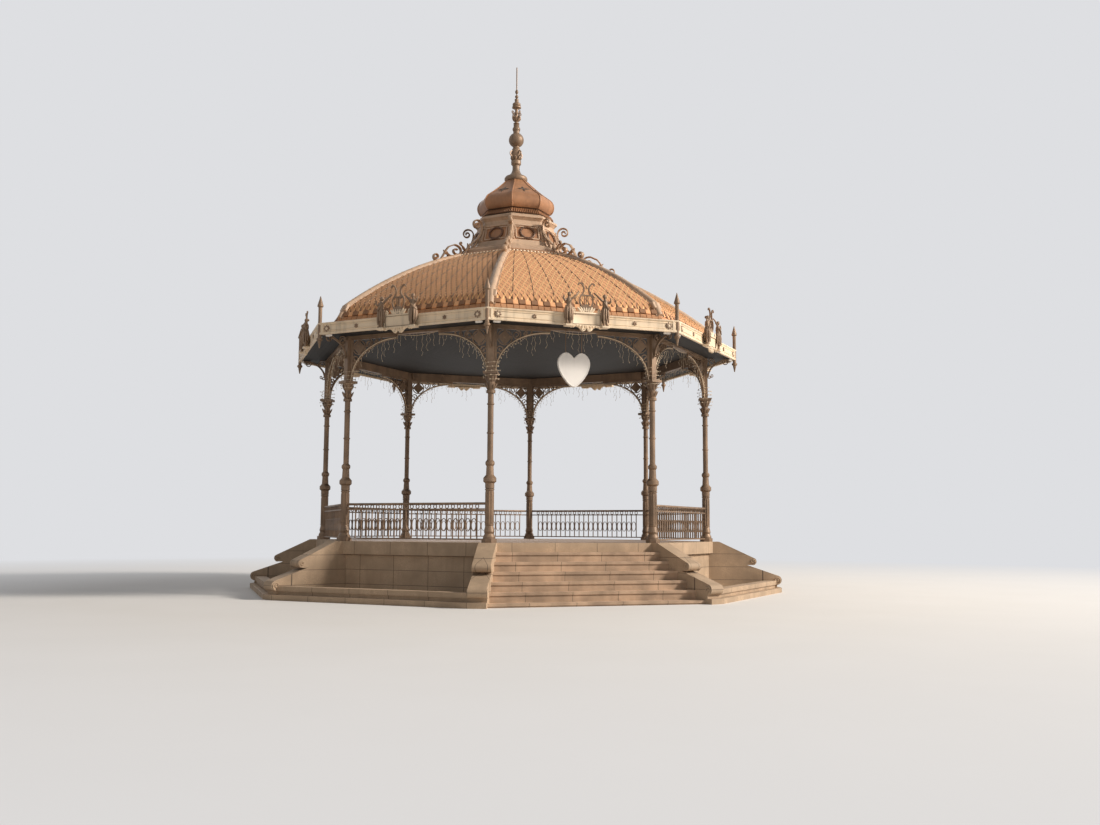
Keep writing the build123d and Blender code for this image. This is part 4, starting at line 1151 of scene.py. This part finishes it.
class BANDSTAND_OT_spire(Operator):
    """Adds the spire's side scrolls, leaves and beads"""

    bl_idname = "bandstand.spire"
    bl_label = "Spire ornament"

    def execute(self, context):
        vase_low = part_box("spire_vase")[0].z
        needle_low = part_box("spire_needle")[0].z
        made = []
        for height, reach, hand in ((0.46, 0.13, 1), (0.3, 0.11, -1)):
            line = spiral((reach, needle_low + height), 0.065, 0.014, math.pi, hand * 7.5, 22)
            made.append(scroll(line, 0.014))
        for foot, reach, length in ((needle_low + 0.2, 0.05, 0.16), (vase_low + 0.22, 0.1, 0.12)):
            profile = [(0.01, 0.0), (0.035, length * 0.3), (0.03, length * 0.7), (0.006, length)]
            for angle in (0, math.pi / 4):
                moves = (turn(angle, "Z"), shift(reach, 0, foot), turn(0.45, "Y"))
                made.append(placed(turned(profile, sides=6), (0, 0, 0), *moves))
        scrolls = round_axis("spire_scrolls", made, [angle + HALF for angle in angles(4)])
        dressed(scrolls, "bronze_iron", 50)
        beads = []
        shares = ((0.5, -1), (0.9, -0.6), (1, -0.2), (0.95, 0.35), (0.45, 1))
        for height, radius, half in (
            (needle_low - 0.02, 0.112, 0.085),
            (needle_low + 0.14, 0.09, 0.03),
            (needle_low + 0.7, 0.118, 0.075),
            (needle_low + 0.94, 0.05, 0.04),
            (needle_low + 1.08, 0.045, 0.06),
        ):
            profile = [(radius * out, height + half * up) for out, up in shares]
            beads.append(turned(profile, sides=14))
        dressed(join("spire_beads", beads), "bronze_iron", 50)
        return {"FINISHED"}


# Eave


class BANDSTAND_OT_eave(Operator):
    """Puts the mouldings, flowers and bosses on the fascia"""

    bl_idname = "bandstand.eave"
    bl_label = "Eave ornament"

    def execute(self, context):
        face = CORNICE_FACE - 0.025
        half = face * TAN_HALF - 0.09
        middle = (EAVE_HIGH.z + EAVE_LOW.z) / 2
        mouldings = [
            block((size * 1.4, 2 * half, size), (face, 0, height), 0.006)
            for height, size in ((EAVE_HIGH.z - 0.075, 0.02), (EAVE_LOW.z + 0.078, 0.018))
        ]
        for hand in (-1, 1):
            size = (0.03, 0.06, EAVE_HIGH.z - EAVE_LOW.z - 0.03)
            mouldings.append(block(size, (face + 0.004, hand * (half - 0.02), middle), 0.006))
        dressed(on_sides("fascia_mouldings", mouldings), "cream_paint", 40)
        radius, reach = ornament().rosette_radius, ornament().rosette_reach
        small = [(0.006, 0.0), (0.018, 0.02), (0.016, radius * 0.8), (0.005, radius)]
        large = [(0.012, 0.0), (0.03, 0.03), (0.026, 0.07), (0.008, 0.09)]
        knob = [(0.04, -0.005), (0.04, 0.012), (0.03, 0.03), (0.012, 0.038)]
        roses, bosses = [], []
        middle -= 0.005
        for hand in (-1, 1):
            corner = hand * (reach + 0.86)
            roses += flower(6, small, (face + 0.008, hand * reach, middle))
            roses += flower(8, large, (face + 0.004, corner, middle), flat=0.6)
            bosses.append(placed(turned(knob), (face, corner, middle), turn(math.pi / 2, "Y")))
        dressed(on_sides("fascia_rosettes", roses), "bronze_iron", 50)
        dressed(on_sides("fascia_bosses", bosses), "cream_paint", 50)
        return {"FINISHED"}


class BANDSTAND_OT_cartouches(Operator):
    """Models the bare tablets with their frames, shells and scrolls"""

    bl_idname = "bandstand.cartouches"
    bl_label = "Cartouches"

    def execute(self, context):
        low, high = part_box("cartouche_plaques")
        back, front, top = CORNICE_FACE, high.x, high.z
        half_width, height = 0.38, 0.33
        bottom = top - height
        middle = (top + bottom) / 2
        size = (front - back - 0.01, 2 * half_width, top - bottom)
        tablet = block(size, ((front + back - 0.01) / 2, 0, middle))
        open_mesh(tablet)
        bpy.ops.mesh.select_all(action="DESELECT")
        bpy.ops.object.mode_set(mode="OBJECT")
        for face in tablet.data.polygons:
            face.select = face.normal.x > 0.9
        bpy.ops.object.mode_set(mode="EDIT")
        bpy.ops.mesh.inset(thickness=0.035, depth=0.0)
        bpy.ops.mesh.inset(thickness=0.012, depth=-0.02)
        ease(tablet, 0.006)
        waves = ((0.0, 0.085), (0.035, 0.03), (0.08, 0.0), (0.13, 0.03), (0.18, 0.085))
        waves += ((0.24, 0.115), (0.3, 0.1), (0.36, 0.075), (0.4, 0.095))
        edge = [(-across, low.z + up) for across, up in waves[:0:-1]]
        edge += [(across, low.z + up) for across, up in waves]
        apron = plate(edge + [(0.4, bottom + 0.04), (-0.4, bottom + 0.04)], back, back + 0.04)
        corners = ((1, 1), (-1, 1), (-1, -1), (1, -1))
        line = [(front - 0.016, y * 0.333, middle + z * 0.118) for y, z in corners]
        frames = on_sides("tablet_frames", [bar(line, 0.009, closed=True, fine=0)])
        dressed(frames, "bronze_iron")
        pieces = [tablet, ease(apron, 0.01)]
        for hand in (-1, 1):
            for fold in range(5):
                across = 0.03 + 0.075 * fold
                foot = low.z + next(up for spot, up in waves if spot >= across)
                line = [
                    (back + 0.035, hand * across * 0.75, bottom + 0.045),
                    (back + 0.055, hand * across * 0.9, (bottom + foot) / 2 + 0.02),
                    (back + 0.035, hand * across, foot + 0.012),
                ]
                pieces.append(bar(line, 0.024, taper=(0.6, 1.0, 0.7)))
            line = spiral((hand * 0.07, low.z + 0.05), 0.05, 0.014, math.pi / 2, -hand * 8.0, 22)
            pieces.append(bar([(back + 0.05, y, z) for y, z in line], 0.015))
            line = spiral((hand * 0.33, top + 0.03), 0.06, 0.015, math.pi / 2, hand * 8.5, 26)
            pieces.append(bar([(back + 0.045, y, z) for y, z in line], 0.016))
        for feather in range(7):
            spread = (feather - 3) / 3
            petal = turned([(0.02, 0.0), (0.034, 0.06), (0.028, 0.13), (0.01, 0.17)], sides=8)
            place = (back + 0.035, spread * 0.1, top - 0.02)
            pieces.append(placed(petal, place, turn(-spread * 0.75, "X"), stretch(0.7, 1, 1)))
        piece = on_sides("cartouche_tablets", pieces)
        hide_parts("cartouche_plaques")
        dressed(piece, "cream_paint", 50)
        return {"FINISHED"}


# Height at which the limbs below are drawn, and their radius, taper and (out, along, up) spots
BEARER_HEIGHT = 0.74
BEARER_LIMBS = {
    "left_leg": (
        (0.05, (0.7, 0.55, 0.9, 1.1)),
        ((0.02, -0.035, 0.0), (0.02, -0.03, 0.06), (0.03, -0.035, 0.2), (0.0, -0.03, 0.38)),
    ),
    "right_leg": (
        (0.05, (0.7, 0.55, 0.85, 1.1)),
        ((0.03, 0.045, 0.0), (0.0, 0.04, 0.06), (-0.005, 0.035, 0.2), (0.0, 0.03, 0.38)),
    ),
    "torso": (
        (0.07, (0.95, 0.8, 0.95, 0.85, 0.4, 0.36)),
        ((0.0, 0.0, 0.34), (0.008, 0.0, 0.42), (0.0, 0.0, 0.5), (0.0, 0.0, 0.58))
        + ((0.0, 0.0, 0.61), (0.0, -0.005, 0.65)),
    ),
    "raised_arm": (
        (0.026, (1.1, 1.0, 0.8, 0.6)),
        ((0.0, -0.05, 0.575), (0.02, -0.12, 0.62), (0.0, -0.2, 0.7), (-0.04, -0.255, 0.77)),
    ),
    "lowered_arm": (
        (0.025, (1.1, 1.0, 0.8, 0.6)),
        ((0.0, 0.05, 0.575), (0.02, 0.1, 0.53), (0.035, 0.13, 0.57), (0.02, 0.135, 0.65)),
    ),
    "head": (
        (0.046, (0.45, 0.85, 1.0, 0.75, 0.25)),
        ((0.0, -0.01, 0.635), (0.004, -0.01, 0.655), (0.006, -0.01, 0.69))
        + ((0.0, -0.01, 0.725), (-0.002, -0.01, 0.737)),
    ),
    "hair": (
        (0.03, (0.7, 1.0, 0.5)),
        ((-0.04, -0.01, 0.67), (-0.045, -0.01, 0.7), (-0.03, -0.01, 0.73)),
    ),
    "sash": (
        (0.02, (0.6, 1.0, 1.1, 0.6)),
        ((0.06, -0.05, 0.55), (0.075, 0.0, 0.47), (0.06, 0.06, 0.4), (-0.02, 0.09, 0.36)),
    ),
}


class BANDSTAND_OT_supporters(Operator):
    """Models the draped figures that hold the lyres, with plain faces"""

    bl_idname = "bandstand.supporters"
    bl_label = "Supporters"

    def execute(self, context):
        low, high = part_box("cartouche_supporters")
        scale = (high.z - low.z - 0.045) / BEARER_HEIGHT
        along = 0.44
        foot = Vector((CORNICE_FACE + 0.08, along, low.z))

        def limb(shape, spots):
            radius, taper = shape
            points = [foot + Vector(spot) * scale for spot in spots]
            return bar(points, radius, taper=taper, fine=2)

        parts = [limb(*BEARER_LIMBS[name]) for name in BEARER_LIMBS if name != "sash"]
        for number, angle in enumerate(angles(9)):
            reach = 0.052 + 0.006 * (number % 2)
            spot = Vector((reach * math.cos(angle), reach * math.sin(angle) * 1.2, 0))
            hem = 0.14 - 0.03 * (number % 3)
            levels = ((0.9, 0.43), (1.25, 0.3), (1.35, hem))
            spots = [spot * share + Vector((0, 0, up)) for share, up in levels]
            parts.append(limb((0.024, (0.7, 1.1, 0.6)), spots))
        parts.append(limb(*BEARER_LIMBS["sash"]))
        corbel = block((0.18, 0.19, 0.05), (CORNICE_FACE + 0.065, along, low.z - 0.024), 0.008)
        dressed(on_sides("bearer_blocks", mirrored([corbel])), "cream_paint", 40)
        figures = on_sides("lyre_bearers", mirrored(parts))
        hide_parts("cartouche_supporters")
        dressed(figures, "bronze_iron", 60)
        return {"FINISHED"}


# Columns, arches and railings


class BANDSTAND_OT_columns(Operator):
    """Puts reeds, rings and leaves on the columns"""

    bl_idname = "bandstand.columns"
    bl_label = "Column ornament"

    def execute(self, context):
        drum_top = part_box("column_bases")[1].z
        shaft_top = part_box("column_shafts")[1].z
        capital_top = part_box("capitals")[1].z
        reed = [(0.012, PLATFORM_TOP + 0.42), (0.014, PLATFORM_TOP + 0.46)]
        reed += [(0.014, drum_top - 0.1), (0.008, drum_top - 0.06)]
        made = []
        for angle in angles(10):
            spot = (COLUMN_CENTRE + 0.088 * math.cos(angle), 0.088 * math.sin(angle))
            made.append(turned(reed, spot, sides=6))
        for height, radius in (
            (drum_top - 0.03, 0.108),
            (PLATFORM_TOP + 0.4, 0.104),
            (drum_top + 1.25, 0.082),
            (shaft_top - 0.25, 0.084),
        ):
            ring = [(radius - 0.02, height - 0.025), (radius, height - 0.012)]
            ring += [(radius, height + 0.012), (radius - 0.02, height + 0.025)]
            made.append(turned(ring, (COLUMN_CENTRE, 0), sides=16))
        dressed(on_corners("column_reeds", made), "bronze_iron", 40)
        leaves = []
        length = ornament().leaf_length
        profile = [(0.02, 0.0), (0.034, length * 0.35), (0.03, length * 0.75), (0.006, length)]
        bend = (shift(0.075, 0, 0), turn(0.42, "Y"), stretch(0.45, 1, 1))
        for start, base in ((0, shaft_top + 0.08), (math.pi / 8, capital_top - 0.24)):
            for angle in angles(8):
                leaf = turned(profile, sides=6)
                leaves.append(placed(leaf, (COLUMN_CENTRE, 0, base), turn(angle + start, "Z"), *bend))
        dressed(on_corners("capital_leaves", leaves), "bronze_iron", 50)
        return {"FINISHED"}


class BANDSTAND_OT_arches(Operator):
    """Edges both faces of the arches with a bead"""

    bl_idname = "bandstand.arches"
    bl_label = "Arch ornament"

    def execute(self, context):
        inset = 0.022
        across = ARCH_REACH - inset
        rise = ARCH_CROWN + ARCH_BAND - ARCH_SPRING - inset
        quarter = [k * math.pi / 48 for k in range(25)]
        beads = []
        for side in (-0.026, 0.026):
            line = [
                (
                    COLUMN_APOTHEM + side,
                    ARCH_CENTRE + across * math.cos(angle),
                    ARCH_SPRING + rise * math.sin(angle),
                )
                for angle in quarter
            ]
            beads.append(bar(line, 0.009, fine=0))
        dressed(on_sides("arch_beads", mirrored(beads)), "cream_paint", 50)
        return {"FINISHED"}


def arch_height(along):
    """Underside of the arch at a distance from the middle of its side."""
    across = max(0.0, abs(along) - ARCH_CENTRE) / (ARCH_REACH - ARCH_BAND)
    return ARCH_SPRING + (ARCH_CROWN - ARCH_SPRING) * math.sqrt(max(0.0, 1 - across**2))


def lamp(place, up, tip=0.004, radius=0.013, half=0.016):
    """A small lamp, pointed at both ends."""
    return turned([(tip, up - half), (radius, up), (tip, up + half)], place, sides=4)


class BANDSTAND_OT_light_drops(Operator):
    """Hangs the icicle lights and sets the lamps along the arches and round the capitals"""

    bl_idname = "bandstand.light_drops"
    bl_label = "Icicle lights"

    def execute(self, context):
        drops = []
        lengths = (0.3, 0.16, 0.46, 0.22, 0.1, 0.56, 0.36, 0.14, 0.42, 0.26)
        count = 29
        for number in range(count):
            along = (number - (count - 1) / 2) * 0.116 + 0.03 * math.sin(number * 1.7)
            length = lengths[number * 7 % len(lengths)] * (1 - 0.3 * abs(along) / 1.7)
            top = EAVE_LOW.z if abs(along) < ARCH_CENTRE else arch_height(along)
            steps = max(3, int(length / 0.06))
            line = [
                (
                    COLUMN_APOTHEM + 0.014 * math.sin(number + step * 1.9),
                    along + 0.02 * math.sin(number * 2.3 + step * 2.1) * min(1, step),
                    top + 0.01 - (length + 0.01) * step / steps,
                )
                for step in range(steps + 1)
            ]
            drops.append(bar(line, 0.0035, fine=0))
            drops += [lamp((x, y), z, 0.003, 0.008, 0.012) for x, y, z in line[1::2]]
        shares = [k / 4 for k in range(-4, 5)]
        sag = [(share, EAVE_LOW.z + 0.015 - 0.07 * (1 - share**2)) for share in shares]
        wire = [(COLUMN_APOTHEM, ARCH_CENTRE * share, up) for share, up in sag]
        drops.append(bar(wire, 0.008, fine=0))
        for hand in (-1, 1):
            for number in range(30):
                along = ARCH_CENTRE + 1.3 * math.cos(0.06 + number * 0.035)
                up = arch_height(along) - 0.03 + 0.03 * math.sin(number * 2.7)
                reach = COLUMN_APOTHEM + 0.055 + 0.015 * math.cos(number * 1.9)
                drops.append(lamp((reach, hand * along), up))
        dressed(on_sides("icicle_lights", drops), "pale_glass")
        garland, wire = [], []
        for number in range(44):
            angle = number * 0.71
            reach = 0.185 + 0.02 * math.sin(number * 2.3)
            up = ARCH_SPRING - 0.2 + 0.011 * number
            x, y = math.cos(angle), math.sin(angle)
            garland.append(lamp((COLUMN_CENTRE + reach * x, reach * y), up))
            wire.append((COLUMN_CENTRE + 0.18 * x, 0.18 * y, up))
        garland.append(bar(wire, 0.004, fine=0))
        dressed(on_corners("capital_lights", garland), "pale_glass")
        return {"FINISHED"}


class BANDSTAND_OT_eave_hooks(Operator):
    """Hangs the hooked scrolls and the small lamps under the eave's corners"""

    bl_idname = "bandstand.eave_hooks"
    bl_label = "Eave hooks"

    def execute(self, context):
        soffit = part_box("soffits")[0].z
        hook = spiral((5.8, soffit - 0.1), 0.1, 0.03, math.pi * 0.6, 8.2, 28)
        stem = [(5.75, soffit + 0.01), (5.76, soffit - 0.02)]
        curl = spiral((5.42, soffit - 0.47), 0.06, 0.016, math.pi, 7.4, 20)
        made = [scroll(hook, 0.014), scroll(stem, 0.014), scroll(curl, 0.012)]
        dressed(on_corners("eave_hooks", made), "bronze_iron", 50)
        lamps = []
        for hand in (-1, 1):
            along = hand * (CORNICE_FACE * TAN_HALF - 0.26)
            case = block((0.06, 0.17, 0.05), bevel=0.012)
            lamps.append(placed(case, (CORNICE_FACE - 0.1, along, EAVE_LOW.z - 0.02)))
        dressed(on_sides("eave_lamps", lamps), "white_paint", 40)
        return {"FINISHED"}


class BANDSTAND_OT_railings(Operator):
    """Lays a round handrail on each railing"""

    bl_idname = "bandstand.railings"
    bl_label = "Railing ornament"

    def execute(self, context):
        deselect()
        bpy.ops.mesh.primitive_cylinder_add(
            vertices=10,
            radius=0.03,
            depth=2 * (COLUMN_APOTHEM * TAN_HALF - 0.11),
            location=(COLUMN_APOTHEM, 0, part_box("railings")[1].z - 0.012),
            rotation=(math.pi / 2, 0, 0),
        )
        rail = ease(settle(bpy.context.object), 0.006)
        dressed(on_sides("handrails", [rail], open_stair=True), "bronze_iron", 40)
        return {"FINISHED"}


# The heart's right half from its point to its notch, as shares of its half width and height
HEART_HALF = [(0.0, 0.0), (0.1, 0.01), (0.24, 0.05), (0.46, 0.15), (0.66, 0.27), (0.82, 0.395)]
HEART_HALF += [(0.93, 0.515), (0.985, 0.625), (1.0, 0.72), (0.95, 0.82), (0.83, 0.91)]
HEART_HALF += [(0.67, 0.975), (0.5, 1.0), (0.35, 0.985), (0.2, 0.93), (0.08, 0.87), (0.0, 0.835)]


class BANDSTAND_OT_heart(Operator):
    """Draws the heart sign with its full sides and raised rim"""

    bl_idname = "bandstand.heart"
    bl_label = "Heart sign"

    def execute(self, context):
        low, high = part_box("heart_sign")
        half, tall = high.x, high.z - low.z
        outline = HEART_HALF + [(-x, z) for x, z in reversed(HEART_HALF[1:-1])]
        spots = [(x * half, low.z + z * tall) for x, z in outline]
        sign = join("heart_sign_plate", [plate(spots, -high.y, -low.y)])
        placed(sign, (0, 0, 0), turn(-math.pi / 2, "Z"))
        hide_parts("heart_sign")
        dressed(sign, "white_paint")
        middle, share = low.z + 0.6 * tall, 0.965
        rims = []
        for y in (low.y, high.y):
            line = [(x * share, y, middle + (z - middle) * share) for x, z in spots]
            rims.append(bar(line, ornament().rim_thickness / 2, closed=True))
        dressed(join("heart_rim", rims), "white_paint", 50)
        return {"FINISHED"}


# Podium


class BANDSTAND_OT_buttress_scrolls(Operator):
    """Carves the scroll eyes on both cheeks of the buttresses"""

    bl_idname = "bandstand.buttress_scrolls"
    bl_label = "Buttress scrolls"

    def execute(self, context):
        reach = PLATFORM_EDGE / COS_HALF
        half_width = 0.2
        made = []
        for centre, radius in (((reach + 0.975, 0.805), 0.085), ((reach + 1.6, 0.32), 0.11)):
            line = spiral(centre, radius, 0.02, -math.pi / 2, 9.5, 32)
            made += [scroll(line, 0.02, side) for side in (-half_width, half_width)]
        dressed(on_corners("buttress_volutes", made), "coping_stone", 50)
        return {"FINISHED"}


# Stage


def seen(tree):
    """A value of 1 for rays of the camera, of gloss and of transmission."""
    rays = new_node(tree, "ShaderNodeLightPath").outputs
    value = rays["Is Camera Ray"]
    for name in ("Is Glossy Ray", "Is Transmission Ray"):
        larger = new_node(tree, "ShaderNodeMath", {0: value, 1: rays[name]}, operation="MAXIMUM")
        value = larger.outputs[0]
    return value


def mixed_shader(tree, share, first, second):
    """Mixes what two shader nodes give."""
    values = {0: share, 1: first.outputs[0], 2: second.outputs[0]}
    return new_node(tree, "ShaderNodeMixShader", values).outputs[0]


class BANDSTAND_OT_stage(Operator):
    """Lays the plain floor and sets the soft lights and the camera"""

    bl_idname = "bandstand.stage"
    bl_label = "Stage"

    def execute(self, context):
        scene = context.scene
        photo = scene.bandstand_photo
        deselect()
        bpy.ops.mesh.primitive_plane_add(size=400, location=(0, 60, 0))
        floor = bpy.context.object
        floor.name = "floor"
        settle(floor)
        backdrop = shade(222, 223, 226)
        recipe = Recipe("pale_floor", 0.9)
        tree = recipe.tree
        recipe.finish(recipe.blend(recipe.noise(0.5), shade(226, 222, 216), shade(232, 228, 223)))
        far = recipe.node("ShaderNodeVectorMath", {0: recipe.place}, operation="LENGTH")
        glow = recipe.node("ShaderNodeEmission", {"Color": backdrop})
        share = recipe.times(recipe.ramp(far.outputs["Value"], 11.0, 34.0), seen(tree))
        faded = mixed_shader(tree, share, recipe.shader, glow)
        feed(tree, tree.nodes["Material Output"], {"Surface": faded})
        floor.data.materials.append(FINISHES["pale_floor"])
        world = bpy.data.worlds.new("pale_room")
        world.use_nodes = True
        scene.world = world
        tree = world.node_tree
        ambient = tree.nodes["Background"]
        feed(tree, ambient, {"Color": (0.93, 0.95, 1.0), "Strength": 0.25})
        shown = new_node(tree, "ShaderNodeBackground", {"Color": backdrop, "Strength": 1.0})
        mixed = mixed_shader(tree, seen(tree), ambient, shown)
        feed(tree, tree.nodes["World Output"], {"Surface": mixed})
        for name, place, size, power, colour in (
            ("key_light", (60, -38, 42), 12, 82000, (1.0, 0.94, 0.87)),
            ("fill_light", (-20, -24, 10), 14, 200, (0.9, 0.95, 1.0)),
            ("back_light", (4, 30, 20), 14, 1500, (1.0, 0.97, 0.94)),
        ):
            deselect()
            bpy.ops.object.light_add(type="AREA", location=place)
            light = bpy.context.object
            light.name = name
            light.data.size = size
            light.data.energy = power
            light.data.color = colour
            towards = Vector((0, 0, 5)) - light.location
            light.rotation_euler = towards.to_track_quat("-Z", "Y").to_euler()
        deselect()
        bpy.ops.object.camera_add(location=photo.place)
        camera = bpy.context.object
        camera.name = "photo_camera"
        camera.data.sensor_width = 36
        camera.data.lens = photo.lens
        camera.data.clip_end = 500
        aim = (
            Matrix.Rotation(-photo.heading, 4, "Z")
            @ Matrix.Rotation(math.pi / 2 + photo.pitch, 4, "X")
            @ Matrix.Rotation(photo.roll, 4, "Z")
        )
        camera.matrix_world = Matrix.Translation(photo.place) @ aim
        scene.camera = camera
        scene.view_settings.view_transform = "Standard"
        return {"FINISHED"}


class BANDSTAND_PT_panel(Panel):
    """Lists the steps that dress the bandstand"""

    bl_label = "Bandstand"
    bl_idname = "BANDSTAND_PT_panel"
    bl_space_type = "VIEW_3D"
    bl_region_type = "UI"
    bl_category = "Bandstand"

    def draw(self, context):
        for operator in OPERATORS:
            self.layout.operator(operator.bl_idname)


OPERATORS = (
    BANDSTAND_OT_finishes,
    BANDSTAND_OT_roof_tiles,
    BANDSTAND_OT_foot_tiles,
    BANDSTAND_OT_hips_and_seams,
    BANDSTAND_OT_lantern,
    BANDSTAND_OT_consoles,
    BANDSTAND_OT_frieze,
    BANDSTAND_OT_dome,
    BANDSTAND_OT_spire,
    BANDSTAND_OT_eave,
    BANDSTAND_OT_eave_hooks,
    BANDSTAND_OT_cartouches,
    BANDSTAND_OT_supporters,
    BANDSTAND_OT_columns,
    BANDSTAND_OT_arches,
    BANDSTAND_OT_light_drops,
    BANDSTAND_OT_railings,
    BANDSTAND_OT_heart,
    BANDSTAND_OT_buttress_scrolls,
    BANDSTAND_OT_stage,
)


def register():
    for group in GROUPS + OPERATORS + (BANDSTAND_PT_panel,):
        bpy.utils.register_class(group)
    bpy.types.Scene.bandstand_roof = PointerProperty(type=BandstandRoof)
    bpy.types.Scene.bandstand_ornament = PointerProperty(type=BandstandOrnament)
    bpy.types.Scene.bandstand_colours = PointerProperty(type=BandstandColours)
    bpy.types.Scene.bandstand_photo = PointerProperty(type=BandstandPhoto)


def unregister():
    for name in ("photo", "colours", "ornament", "roof"):
        delattr(bpy.types.Scene, f"bandstand_{name}")
    for group in reversed(GROUPS + OPERATORS + (BANDSTAND_PT_panel,)):
        bpy.utils.unregister_class(group)


def main():
    register()
    for operator in OPERATORS:
        getattr(bpy.ops.bandstand, operator.bl_idname.split(".")[1])()


if __name__ == "__main__":
    main()
